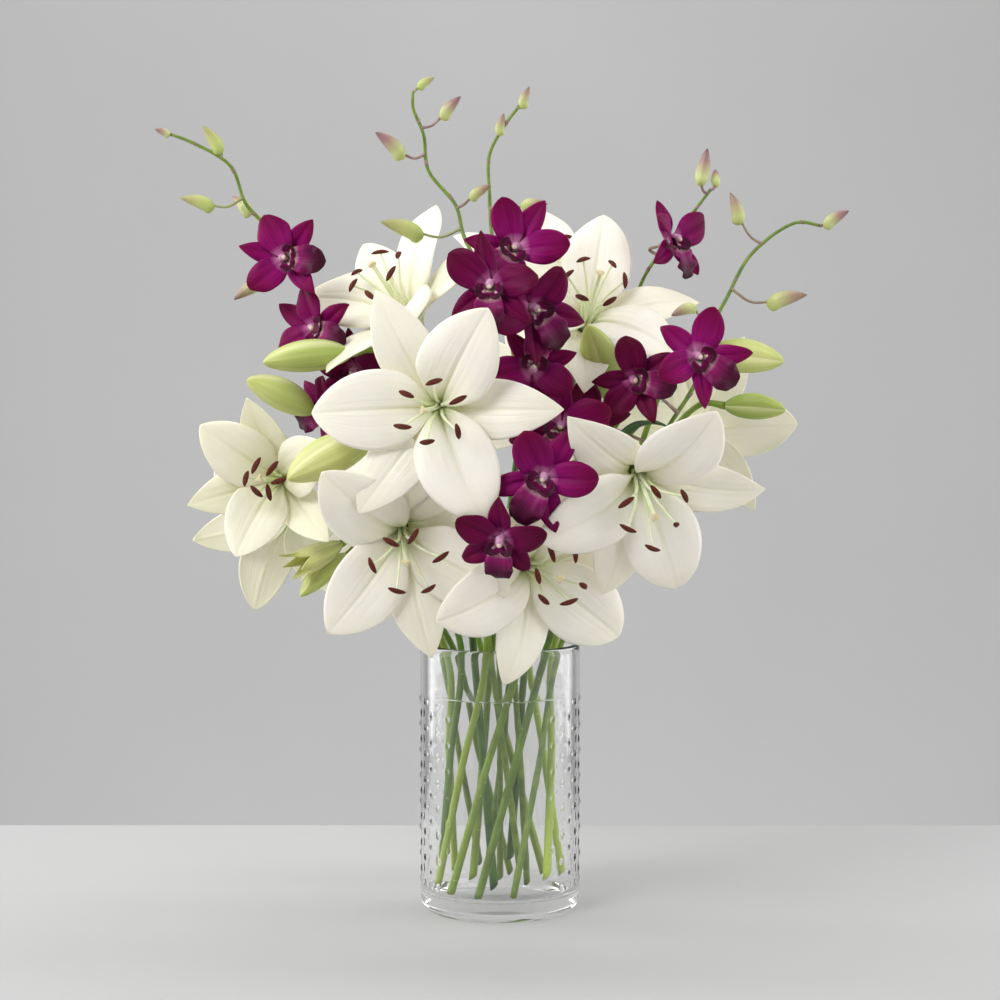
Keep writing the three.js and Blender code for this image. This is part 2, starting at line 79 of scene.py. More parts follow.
# What sets the two kinds of tepal apart: the slope each starts at, its distance from the axis and along it, where it
# is widest, how blunt it is, and its fold, groove and curled edge.
OUTER_TEPAL = {"first": 26, "start": 3, "back": -3, "belly": 0.52, "point": 0.86, "fold": 0.14, "groove": 1.0,
               "curl": 0.06}
INNER_TEPAL = {"first": 18, "start": 2, "back": 2.5, "belly": 0.55, "point": 0.74, "fold": 0.20, "groove": 1.5,
               "curl": 0.12}

# Lily buds: the end of the stalk, the tip, the radius, and how green it still is.
BUDS = {
    "bud_left": ((-98, -60, 388), (-156, -85, 383), 11.5, 0.75),
    "bud_left_lower": ((-124, -46, 348), (-168, -68, 371), 11.5, 0.45),
    "bud_left_front": ((-83, -108, 334), (-136, -148, 311), 14, 0.3),
    "bud_low_left": ((-105, -70, 262), (-139, -100, 247), 8.5, 0.7),
    "bud_low_left_small": ((-101, -62, 254), (-132, -92, 229), 7.5, 0.7),
    "bud_middle": ((76, -42, 356), (58, -76, 407), 14, 0.85),
    "bud_right_upper": ((140, -20, 386), (191, -40, 382), 12.5, 0.35),
    "bud_right_lower": ((151, -38, 352), (191, -55, 350), 9.5, 0.95),
}

# Orchid blooms: the column's place, the way the bloom faces, the way its lip points (turned from +X), its size
# against the common one, and its painted shade, darkest for the blooms low down and inside the bunch.
ORCHIDS = {
    "orchid_left_1": ((-142, -45, 451), -12, 5, -5, 1.0, 0.2),
    "orchid_left_2": ((-121, -42, 403), -30, 10, -20, 1.0, 0.5),
    "orchid_left_3": ((-96, -34, 374), -20, 0, 270, 0.9, 0.8),
    "orchid_left_4": ((-113, -42, 350), -35, -10, 200, 0.9, 0.5),
    "orchid_top_1": ((8, -125, 457), 8, 12, 230, 1.08, 0.15),
    "orchid_top_2": ((-6, -156, 434), -5, 3, 270, 1.0, 0.8),
    "orchid_top_3": ((20, -126, 419), 25, 0, 305, 1.08, 0.7),
    "orchid_top_4": ((21, -118, 382), 5, 0, 80, 0.95, 0.6),
    "orchid_right_1": ((90, -92, 372), -8, 0, -10, 0.95, 0.9),
    "orchid_right_2": ((129, -108, 387), 5, 5, -38, 1.05, 0.15),
    "orchid_right_3": ((58, -64, 344), -5, 0, 200, 0.9, 1.0),
    "orchid_right_top": ((114, -12, 461), 52, 16, 270, 0.95, 0.35),
    "orchid_front_1": ((39, -112, 341), 0, 10, 255, 1.14, 0.5),
    "orchid_front_2": ((27, -158, 313), 0, -5, 240, 1.14, 0.3),
    "orchid_front_3": ((1, -158, 275), -10, -28, 265, 0.95, 0.8),
}

# Lily stems: the angle at which each passes the mouth, its ring, the height of its cut end, a bend on the way
# up, the bloom it carries, and the buds on side stalks that leave it at a fork, some by way of a point.
LILY_STEMS = {
    "stem_lily_front": (-102, "outer", 20, (-22, -66, 300), "lily_front", None, (), None),
    "stem_lily_right": (-42, "outer", 16, (62, -58, 280), "lily_right", None, (), None),
    "stem_lily_low_left": (-128, "outer", 31, (-48, -50, 246), "lily_low_left", (-46, -48, 240),
                           ("bud_low_left", "bud_low_left_small"), None),
    "stem_lily_low_middle": (-72, "outer", 17, (8, -54, 226), "lily_low_middle", None, (), None),
    "stem_lily_left": (207, "outer", 24, (-110, -38, 272), "lily_left", (-62, -28, 238), ("bud_left_front",), None),
    "stem_lily_top_left": (190, "inner", 19, (-34, -14, 330), "lily_top_left", (-34, -14, 318), ("bud_left",), None),
    "stem_lily_top_right": (0, "inner", 34, (44, -6, 330), "lily_top_right", (40, -5, 300), ("bud_middle",), None),
    "stem_lily_top_middle": (105, "inner", 22, (14, 36, 330), "lily_top_middle", None, (), None),
    "stem_lily_back_right": (25, "outer", 28, (88, 24, 290), "lily_back_right", (84, 22, 286),
                             ("bud_right_upper", "bud_right_lower"), None),
    "stem_lily_back_left": (148, "outer", 18, (-92, 20, 246), "lily_back_left", None, (), None),
    "stem_lily_back": (64, "outer", 26, (26, 66, 300), "lily_back", None, (), None),
    "stem_lily_low_back": (112, "outer", 21, (-34, 62, 240), "lily_low_back", (-30, 56, 228),
                           ("bud_left_lower",), (-86, 26, 318)),
}

# Orchid sprays: the mouth, ring and foot as above, the stem's points above the mouth, its blooms, and its own
# small buds, each from its stalk's end to its tip.
SPRAYS = {
    "spray_left": (178, "outer", 25, (
        (-78, 2, 290), (-112, -14, 380), (-135, -24, 436), (-159, -20, 473), (-172, -20, 488), (-182, -20, 513),
        (-208, -25, 529), (-221, -25, 534)),
        ("orchid_left_1", "orchid_left_2", "orchid_left_3", "orchid_left_4"), (
        ((-222, -25, 534), (-232, -28, 538)), ((-187, -21, 522), (-200, -24, 541)),
        ((-193, -20, 486), (-216, -24, 493)), ((-169, -14, 481), (-182, -2, 494)),
        ((-160, -33, 436), (-180, -38, 424)))),
    "spray_top_left": (248, "inner", 30, (
        (-14, -60, 300), (-6, -92, 380), (-8, -102, 431), (-17, -100, 452), (-24, -95, 467), (-29, -90, 486),
        (-47, -85, 509), (-50, -85, 532), (-57, -85, 550), (-57, -85, 560)),
        ("orchid_top_1", "orchid_top_2"), (
        ((-54, -85, 563), (-43, -86, 570)), ((-39, -85, 543), (-26, -88, 558)), ((-62, -85, 518), (-81, -90, 535)),
        ((-50, -92, 467), (-78, -98, 477)), ((-20, -92, 491), (-6, -96, 500)))),
    "spray_top": (300, "inner", 18, (
        (18, -48, 300), (10, -70, 380), (3, -62, 424), (-5, -50, 463), (-7, -45, 493), (-7, -40, 520), (2, -40, 538),
        (14, -42, 554)),
        ("orchid_top_3", "orchid_top_4"), (
        ((14, -42, 551), (19, -42, 566)), ((-1, -40, 533), (2, -42, 548)), ((14, -60, 487), (32, -66, 488)),
        ((24, -75, 459), (45, -80, 466)))),
    "spray_right_top": (50, "inner", 27, (
        (60, 14, 300), (80, 6, 380), (99, -2, 439), (114, -2, 460), (130, -4, 480), (143, -5, 497)),
        ("orchid_right_top",), (((136, -5, 500), (141, -6, 526)), ((147, -4, 500), (147, 6, 512)))),
    "spray_right": (-10, "outer", 17, (
        (84, -24, 270), (108, -50, 330), (132, -44, 369), (145, -34, 409), (153, -28, 424), (170, -25, 454),
        (200, -25, 475), (216, -25, 473)),
        ("orchid_right_1", "orchid_right_2", "orchid_right_3"), (
        ((218, -25, 473), (235, -28, 484)), ((163, -26, 474), (156, -26, 496)), ((180, -30, 421), (207, -34, 428)),
        ((130, -60, 420), (113, -66, 414)))),
    "spray_front": (0, "centre", 22, (
        (8, -40, 270), (24, -82, 326), (36, -118, 334), (34, -134, 318), (14, -142, 296)),
        ("orchid_front_1", "orchid_front_2", "orchid_front_3"), ()),
}

# The vase's mouth is where the stems' upper points begin. Each ring of stems has its radius, and the turn in degrees
# that winds its stems between their cut ends and the mouth. Every stem is cut at the same slant, in degrees.
MOUTH_HEIGHT = 187
RINGS = {"outer": (43, 68), "inner": (19, -68), "centre": (0, -68)}
CUT_SLANT = 38

# Leaves: base, tip, the way the blade bows, and width.
LEAVES = {
    "leaf_front": ((-21, -58, 290), (-50, -112, 312), (0, 0, 14), 15),
    "leaf_right": ((66, -28, 300), (112, -70, 340), (0, 0, 16), 16),
    "leaf_back_left": ((-66, 34, 226), (-118, 62, 300), (-14, 6, 0), 17),
    "leaf_back_right": ((58, 60, 252), (106, 104, 300), (10, 8, 0), 17),
}


# ---- colours and nodes ----

def linear(hex_colour):
    """An sRGB hex colour as linear red, green, blue and alpha."""
    parts = [int(hex_colour[i:i + 2], 16) / 255 for i in (0, 2, 4)]
    return tuple(c / 12.92 if c <= 0.04045 else ((c + 0.055) / 1.055) ** 2.4 for c in parts) + (1.0,)


def add(tree, kind, feeds=None, stops=(), **settings):
    """Adds a node: settings are its properties, feeds are its inputs' values or the sockets they link to, and stops
    are a colour ramp's places and colours in order."""
    made = tree.nodes.new(kind)
    for name, value in settings.items():
        setattr(made, name, value)
    for name, value in (feeds or {}).items():
        socket = made.inputs[name]
        if isinstance(value, bpy.types.NodeSocket):
            tree.links.new(value, socket)
        else:
            socket.default_value = value
    if stops:
        bar = made.color_ramp.elements
        bar[0].position, bar[1].position = stops[0][0], stops[-1][0]
        for place, _ in stops[1:-1]:
            bar.new(place)
        for element, (_, colour) in zip(bar, stops):
            element.color = colour if isinstance(colour, tuple) else linear(colour)
    return made


def blank_material(name):
    """An empty material's node tree and its output node."""
    made = bpy.data.materials.new(name)
    made.use_nodes = True
    made.node_tree.nodes.clear()
    return made, made.node_tree, made.node_tree.nodes.new("ShaderNodeOutputMaterial")


# ---- finishes ----

def on_petal(tree):
    """What the finish of a petal or a bud follows: its UV map, and the places across and along it."""
    uv = add(tree, "ShaderNodeUVMap").outputs["UV"]
    split = add(tree, "ShaderNodeSeparateXYZ", {"Vector": uv})
    return uv, split.outputs["X"], split.outputs["Y"]


def veined(tree, uv, skin, stretch, detail, spread, dim):
    """Veins along a petal: noise stretched to a number across it and along it, whose spread of values dims and
    brightens the skin by the two factors of dim. Gives the new colour and the veins' height."""
    run = add(tree, "ShaderNodeMapping", {"Vector": uv, "Scale": (*stretch, 1.0)}).outputs[0]
    veins = add(tree, "ShaderNodeTexNoise", {"Vector": run, "Scale": 1.0, "Detail": detail}).outputs["Fac"]
    factor = add(tree, "ShaderNodeMapRange", {"Value": veins, "From Min": spread[0], "From Max": spread[1],
                                              "To Min": dim[0], "To Max": dim[1]}).outputs[0]
    return add(tree, "ShaderNodeVectorMath", {0: skin, "Scale": factor}, operation="SCALE").outputs[0], veins


def plant_skin(tree, out, skin, height, *, relief=0.4, lift_mm=0.1, roughness, specular=0.45, glow, spread,
               depth_mm=2):
    """The waxy living skin under every finish here: a soft gloss, light passing some way under it in the colours
    of spread, and a fine relief where there is a height."""
    feeds = {"Base Color": skin, "Roughness": roughness, "Specular IOR Level": specular, "Subsurface Weight": glow,
             "Subsurface Radius": spread, "Subsurface Scale": depth_mm * MM}
    if height:
        bump = add(tree, "ShaderNodeBump", {"Height": height, "Strength": relief, "Distance": lift_mm * MM})
        feeds["Normal"] = bump.outputs[0]
    tree.links.new(add(tree, "ShaderNodeBsdfPrincipled", feeds).outputs[0], out.inputs["Surface"])


def lily_petal():
    """Living petal: a thin waxy skin over cells full of air, so it is matt white and light glows through it. It
    is green where it leaves the stalk and along its midrib, with fine veins running its length."""
    made, tree, out = blank_material("lily petal")
    uv, across, along = on_petal(tree)
    shade = add(tree, "ShaderNodeAttribute", attribute_name="shade").outputs["Fac"]
    white = tuple(bpy.context.scene.bunch_colours.petal) + (1,)
    skin = add(tree, "ShaderNodeValToRGB", {"Fac": along}, stops=(
        (0.0, "C4D67E"), (0.10, "E2EAB8"), (0.26, "FAF5E2"), (0.6, white), (1.0, "FBF3E0"))).outputs["Color"]
    # The midrib's green fades to either side of it and towards the tip.
    aside = add(tree, "ShaderNodeMath", {0: across, 1: 0.5}, operation="SUBTRACT").outputs[0]
    aside = add(tree, "ShaderNodeMath", {0: aside}, operation="ABSOLUTE").outputs[0]
    rib = add(tree, "ShaderNodeMapRange", {
        "Value": aside, "From Min": 0.0, "From Max": 0.11, "To Min": 1.0, "To Max": 0.0}).outputs[0]
    fade = add(tree, "ShaderNodeMapRange", {
        "Value": along, "From Min": 0.05, "From Max": 0.75, "To Min": 0.55, "To Max": 0.08}).outputs[0]
    green = add(tree, "ShaderNodeMath", {0: rib, 1: fade}, operation="MULTIPLY").outputs[0]
    skin = add(tree, "ShaderNodeMix", {"Factor": green, "A": skin, "B": linear("D5DFA6")},
               data_type="RGBA").outputs["Result"]
    # Young blooms and the outer tepals keep some of the bud's yellow-green.
    skin = add(tree, "ShaderNodeMix", {"Factor": shade, "A": skin, "B": linear("E4E4A4")},
               data_type="RGBA").outputs["Result"]
    # Veins about 1.5 mm apart: the map's width is some 45 mm.
    skin, veins = veined(tree, uv, skin, (30.0, 1.2), 2.0, (0.0, 1.0), (0.97, 1.02))
    # Broad soft unevenness some 20 mm across.
    place = add(tree, "ShaderNodeTexCoord").outputs["Object"]
    spots = add(tree, "ShaderNodeTexNoise", {"Vector": place, "Scale": 50.0}).outputs["Fac"]
    dull = add(tree, "ShaderNodeMapRange", {"Value": spots, "To Min": 0.93, "To Max": 1.03}).outputs[0]
    skin = add(tree, "ShaderNodeVectorMath", {0: skin, "Scale": dull}, operation="SCALE").outputs[0]
    plant_skin(tree, out, skin, veins, lift_mm=0.8, roughness=0.46, specular=0.35, glow=0.35,
               spread=(1.0, 0.95, 0.75), depth_mm=3)
    return made


def orchid_petal():
    """Dendrobium petal: deep magenta with a velvet bloom, because its cells stand up as tiny domes. It is nearly
    white where it joins the middle, and its veins run darker."""
    made, tree, out = blank_material("orchid petal")
    uv, _, along = on_petal(tree)
    shade = add(tree, "ShaderNodeAttribute", attribute_name="shade").outputs["Fac"]
    magenta = tuple(bpy.context.scene.bunch_colours.orchid) + (1,)
    light = add(tree, "ShaderNodeValToRGB", {"Fac": along}, stops=(
        (0.0, "F5E8E6"), (0.16, "D48CBC"), (0.3, "9C1478"), (0.58, magenta), (1.0, "70033C"))).outputs["Color"]
    # The deep ramp is painted shade: each bloom is mixed towards it by its shade, so that the blooms low down and
    # inside the bunch look shaded.
    deep = add(tree, "ShaderNodeValToRGB", {"Fac": along}, stops=(
        (0.0, "EAD2D8"), (0.14, "B05A92"), (0.28, "68053F"), (1.0, "4A021C"))).outputs["Color"]
    skin = add(tree, "ShaderNodeMix", {"Factor": shade, "A": light, "B": deep}, data_type="RGBA").outputs["Result"]
    # Veins about 1.5 mm apart: the map's width is some 24 mm.
    skin, veins = veined(tree, uv, skin, (16.0, 1.1), 3.0, (0.3, 0.7), (0.70, 1.22))
    plant_skin(tree, out, skin, veins, relief=0.5, lift_mm=0.5, roughness=0.5, specular=0.09, glow=0.2,
               spread=(1.0, 0.15, 0.6))
    return made


def orchid_lip():
    """The lip of a dendrobium: almost black-purple velvet towards its edge, with a pale throat that guides bees."""
    made, tree, out = blank_material("orchid lip")
    uv, _, along = on_petal(tree)
    skin = add(tree, "ShaderNodeValToRGB", {"Fac": along}, stops=(
        (0.0, "EFE2C8"), (0.24, "E0BEBE"), (0.42, "8A1260"), (0.7, "4E0230"), (1.0, "300116"))).outputs["Color"]
    # Veins about 1.5 mm apart: the map's width is some 18 mm.
    skin, veins = veined(tree, uv, skin, (12.0, 1.0), 3.0, (0.3, 0.7), (0.55, 1.3))
    plant_skin(tree, out, skin, veins, relief=0.6, lift_mm=0.6, roughness=0.5, specular=0.2, glow=0.12,
               spread=(1.0, 0.2, 0.6))
    return made


def bud_skin():
    """A lily bud's skin: satin, ridged along each closed tepal, green at the stalk and paler to the tip and along
    the ridges as it ripens."""
    made, tree, out = blank_material("lily bud skin")
    uv, around, along = on_petal(tree)
    shade = add(tree, "ShaderNodeAttribute", attribute_name="shade").outputs["Fac"]
    ripe = add(tree, "ShaderNodeValToRGB", {"Fac": along}, stops=(
        (0.0, "8FA24A"), (0.25, "C9D27E"), (0.7, "DDE09A"), (1.0, "C3C56C"))).outputs["Color"]
    green = add(tree, "ShaderNodeValToRGB", {"Fac": along}, stops=(
        (0.0, "6E8A30"), (0.3, "93AB48"), (0.75, "B4C364"), (1.0, "A9B455"))).outputs["Color"]
    skin = add(tree, "ShaderNodeMix", {"Factor": shade, "A": ripe, "B": green}, data_type="RGBA").outputs["Result"]
    # Each of the three closed tepals is a third of the way round, and its edges are a paler stripe.
    thirds = add(tree, "ShaderNodeMath", {0: around, 1: 3.0}, operation="MULTIPLY").outputs[0]
    wave = add(tree, "ShaderNodeMath", {0: thirds, 1: 1.0}, operation="PINGPONG").outputs[0]
    stripe = add(tree, "ShaderNodeMapRange", {
        "Value": wave, "From Min": 0.0, "From Max": 0.3, "To Min": 0.5, "To Max": 0.0}).outputs[0]
    skin = add(tree, "ShaderNodeMix", {"Factor": stripe, "A": skin, "B": linear("E6E7B4")},
               data_type="RGBA").outputs["Result"]
    skin, veins = veined(tree, uv, skin, (60.0, 2.0), 2.0, (0.0, 1.0), (0.76, 1.12))
    plant_skin(tree, out, skin, veins, relief=0.3, lift_mm=0.5, roughness=0.42, glow=0.2, spread=(0.9, 1.0, 0.4),
               depth_mm=3)
    return made


def orchid_bud_skin():
    """A dendrobium bud: waxy, pale yellow-green at its chin and washed with mauve towards its tip."""
    made, tree, out = blank_material("orchid bud skin")
    _, _, along = on_petal(tree)
    shade = add(tree, "ShaderNodeAttribute", attribute_name="shade").outputs["Fac"]
    mauve = add(tree, "ShaderNodeValToRGB", {"Fac": along}, stops=(
        (0.0, "AEBB62"), (0.35, "C2C98A"), (0.62, "A07A78"), (1.0, "5F3A48"))).outputs["Color"]
    green = add(tree, "ShaderNodeValToRGB", {"Fac": along}, stops=(
        (0.0, "9DB34A"), (0.5, "C0CE72"), (1.0, "9A9A5C"))).outputs["Color"]
    skin = add(tree, "ShaderNodeMix", {"Factor": shade, "A": mauve, "B": green}, data_type="RGBA").outputs["Result"]
    plant_skin(tree, out, skin, None, roughness=0.4, glow=0.2, spread=(0.9, 1.0, 0.5))
    return made


# Plain plant skins: two close colours, the size of their patches in mm, roughness, how much light passes under the
# skin, how far its fine unevenness stands up in mm, and the colour that the piece's shade turns both towards.
PLAIN_SKINS = {
    "lily filament": ("D6DFAE", "EBEED6", 14, 0.45, 0.35),
    "pollen": ("3A0E03", "6A260E", 1.2, 0.85, 0.0, 0.4),
    "stigma": ("C9B98A", "E2D6B0", 3, 0.4, 0.2),
    "orchid column": ("A85A90", "D9A8C6", 6, 0.45, 0.2),
    "orchid cap": ("C9AFA0", "E3CDBE", 4, 0.45, 0.2),
    "spray stalk": ("557022", "7E9638", 10, 0.45, 0.1),
    "mauve stalk": ("7B5560", "A08A7C", 8, 0.45, 0.15, 0.1, "9CAE66"),
    # The lily stalk's pale yellow-green is partly each stem's own paler tone and partly painted light, which the main
    # stems take on lower down.
    "lily stalk": ("1F3D07", "4D7812", 18, 0.36, 0.06, 0.12, "B2C83E"),
    "cut end": ("B9C18A", "D9DCB4", 2, 0.7, 0.1, 0.3),
    "leaf skin": ("28481A", "3F6A28", 9, 0.4, 0.1, 0.2),
}


def plain_plant(name, dark, light, patch_mm, roughness, glow, lift_mm=0.1, shaded=None):
    """A plain waxy or, for pollen, powdery skin: soft patches of two colours over a fine uneven surface."""
    made, tree, out = blank_material(name)
    place = add(tree, "ShaderNodeTexCoord").outputs["Object"]
    patches = add(tree, "ShaderNodeTexNoise", {"Vector": place, "Scale": 1000 / patch_mm, "Detail": 3.0})
    skin = add(tree, "ShaderNodeValToRGB", {"Fac": patches.outputs["Fac"]}, stops=(
        (0.3, dark), (0.7, light))).outputs["Color"]
    if shaded:
        shade = add(tree, "ShaderNodeAttribute", attribute_name="shade").outputs["Fac"]
        skin = add(tree, "ShaderNodeMix", {"Factor": shade, "A": skin, "B": linear(shaded)},
                   data_type="RGBA").outputs["Result"]
    fine = add(tree, "ShaderNodeTexNoise", {"Vector": place, "Scale": 1400.0, "Detail": 2.0}).outputs["Fac"]
    plant_skin(tree, out, skin, fine, lift_mm=lift_mm, roughness=roughness, glow=glow, spread=(0.8, 1.0, 0.4))
    return made


def clear(name, ior, echoes=True):
    """A clear body's skin, smooth enough to mirror: glass, or water, bending light by its index against what it
    meets. Lamps and soft light pass through it, as they do through real glass, where a plain shader would throw a
    dark shadow. Without echoes, light that it has mirrored once passes through it too, so a thick body stays bright
    where light would be caught inside it."""
    made, tree, out = blank_material(name)
    body = add(tree, "ShaderNodeBsdfPrincipled", {
        "Base Color": linear("FFFFFF"), "Roughness": 0.0, "IOR": ior, "Transmission Weight": 1.0})
    path = add(tree, "ShaderNodeLightPath")
    through = add(tree, "ShaderNodeBsdfTransparent", {"Color": linear("F8F8F8")})
    for kind in (() if echoes else ("Is Glossy Ray",)) + ("Is Diffuse Ray", "Is Shadow Ray"):
        body = add(tree, "ShaderNodeMixShader", {0: path.outputs[kind], 1: body.outputs[0], 2: through.outputs[0]})
    tree.links.new(body.outputs[0], out.inputs["Surface"])
    return made


def painted_board(name, low, high, patch_mm, one_sided=False):
    """Matt painted board with a faint uneven wash, for the floor and the wall behind. A one-sided board can't be
    seen from its back, so the bunch can be looked at from behind."""
    made, tree, out = blank_material(name)
    place = add(tree, "ShaderNodeTexCoord").outputs["Object"]
    wash = add(tree, "ShaderNodeTexNoise", {"Vector": place, "Scale": 1000 / patch_mm, "Detail": 4.0})
    skin = add(tree, "ShaderNodeValToRGB", {"Fac": wash.outputs["Fac"]}, stops=(
        (0.3, low), (0.7, high))).outputs["Color"]
    surface = add(tree, "ShaderNodeBsdfPrincipled", {"Base Color": skin, "Roughness": 0.55, "Specular IOR Level": 0.3})
    if one_sided:
        side = add(tree, "ShaderNodeNewGeometry").outputs["Backfacing"]
        nothing = add(tree, "ShaderNodeBsdfTransparent").outputs[0]
        surface = add(tree, "ShaderNodeMixShader", {0: side, 1: surface.outputs[0], 2: nothing})
    tree.links.new(surface.outputs[0], out.inputs["Surface"])
    return made


FINISHES = {}


def finish_named(name):
    """Each finish is made once, when the first piece asks for it."""
    patterned = {"lily petal": lily_petal, "bud skin": bud_skin, "orchid petal": orchid_petal,
                 "orchid lip": orchid_lip, "orchid bud skin": orchid_bud_skin}
    if name not in FINISHES:
        FINISHES[name] = patterned[name]() if name in patterned else plain_plant(name, *PLAIN_SKINS[name])
    return FINISHES[name]


# ---- shapes, in millimetres ----

def bloom_frame(at, azimuth, elevation, spin=0.0):
    """A bloom's frame: +Z the way it faces, +Y up its face, turned by spin about its axis."""
    a, e = rad(azimuth), rad(elevation)
    z = Vector((math.sin(a) * math.cos(e), -math.cos(a) * math.cos(e), math.sin(e)))
    x = Vector((0, 0, 1)).cross(z).normalized()
    turned = Matrix((x, z.cross(x), z)).transposed().to_4x4()
    return Matrix.Translation(at) @ turned @ Matrix.Rotation(rad(spin), 4, "Z")


def facing(axis, about=(0, 0, 1)):
    """A turn that takes +Z to axis, with +Y as near about as it goes."""
    z = Vector(axis).normalized()
    about = Vector(about)
    if abs(z.dot(about.normalized())) > 0.98:
        about = Vector((0, 1, 0)) if abs(z.y) < 0.9 else Vector((1, 0, 0))
    x = about.cross(z).normalized()
    return Matrix((x, z.cross(x), z)).transposed().to_4x4()


def curve_through(points, count):
    """count + 1 places at even steps along a smooth curve through points, by the centripetal Catmull-Rom rule."""
    points = [Vector(p) for p in points]
    points = [2 * points[0] - points[1]] + points + [2 * points[-1] - points[-2]]
    places = []
    for a, b, c, d in zip(points, points[1:], points[2:], points[3:]):
        ab, bc, cd = ((q - p).length ** 0.5 for p, q in ((a, b), (b, c), (c, d)))
        into = ((b - a) / ab - (c - a) / (ab + bc) + (c - b) / bc) * bc
        away = ((c - b) / bc - (d - b) / (bc + cd) + (d - c) / cd) * bc
        for i in range(24):
            t = i / 24
            places.append(b + into * t + (3 * (c - b) - 2 * into - away) * t ** 2
                          + (2 * (b - c) + into + away) * t ** 3)
    places.append(points[-2])
    run = [0.0]
    for p, q in zip(places, places[1:]):
        run.append(run[-1] + (q - p).length)
    even, i = [], 0
    for k in range(count + 1):
        want = run[-1] * k / count
        while i < len(run) - 2 and run[i + 1] < want:
            i += 1
        even.append(places[i].lerp(places[i + 1], (want - run[i]) / (run[i + 1] - run[i])))
    return even


def frames_along(places, radii):
    """A frame at each place along a line, with +Z the way the line goes, scaled by the radius there."""
    last = len(places) - 1
    about = Vector((0.3, 0.2, 0.93))
    frames = []
    for i, place in enumerate(places):
        turn = facing(places[min(i + 1, last)] - places[max(i - 1, 0)], about)
        about = turn.to_3x3() @ Vector((0, 1, 0))
        frames.append(Matrix.Translation(place) @ turn @ Matrix.Diagonal((radii[i], radii[i], radii[i], 1)))
    return frames


def tube(bm, places, radii, sides, shade=0.0, finish=0, slant=0.0, end_finish=0):
    """A closed tube: a grid rolled up round a line and sized by radii, its ends filled and its first one cut at
    a slant."""
    frames = frames_along(places, radii)
    frames[0] = frames[0] @ Matrix.Rotation(rad(slant), 4, "X") @ Matrix.Diagonal((1, 1 / math.cos(rad(slant)), 1, 1))
    part = new_shape()
    made = bmesh.ops.create_grid(part, x_segments=sides, y_segments=len(places) - 1, size=0.5, calc_uvs=True)["verts"]
    for vert in made:
        turn = math.tau * vert.co.x
        frame_here = frames[round((vert.co.y + 0.5) * (len(places) - 1))]
        vert.co = frame_here @ Vector((math.cos(turn), math.sin(turn), 0))
    bmesh.ops.remove_doubles(part, verts=part.verts, dist=1e-4)
    dress(part, finish)
    ends = bmesh.ops.holes_fill(part, edges=[edge for edge in part.edges if edge.is_boundary], sides=0)["faces"]
    for end in ends:
        end.material_index = end_finish if slant else finish
    paint(part, shade)
    join(bm, part)


def join(bm, part):
    """Adds a finished part to a piece. Parts are made apart because each operator looks at all of its mesh."""
    mesh = bpy.data.meshes.new("part")
    part.to_mesh(mesh)
    part.free()
    bm.from_mesh(mesh)
    bpy.data.meshes.remove(mesh)


def dress(bm, finish):
    """Gives a part's faces one of the piece's finishes, by its place in their list."""
    for face in bm.faces:
        face.material_index = finish


def paint(bm, shade):
    """Sets the shade that a finish reads, from 0 to 1, the same all over or by a rule of the place."""
    layer = bm.verts.layers.float["shade"]
    for vert in bm.verts:
        vert[layer] = shade(vert.co) if callable(shade) else shade


def blob(bm, around, up, rule, place=None, finish=0, shade=0.0):
    """A closed round body: a sphere whose points rule moves, put in its place in the piece."""
    part = new_shape()
    bmesh.ops.create_uvsphere(part, u_segments=around, v_segments=up, radius=1.0, calc_uvs=True)
    for vert in part.verts:
        vert.co = rule(vert.co)
    bmesh.ops.transform(part, matrix=place or Matrix(), verts=part.verts)
    dress(part, finish)
    paint(part, shade)
    join(bm, part)


def spine(length, first, last, recurve, steps=60):
    """The line down the middle of a petal: distance from the axis, height along it, and slope from it."""
    line = [(0.0, 0.0, rad(first))]
    for i in range(1, steps + 1):
        t = i / steps
        slope = rad(first + (last - first) * t * (2 - t) + recurve * max(0.0, (t - 0.7) / 0.3) ** 2)
        r, h, before = line[-1]
        middle = (slope + before) / 2
        line.append((r + math.sin(middle) * length / steps, h + math.cos(middle) * length / steps, slope))
    return line


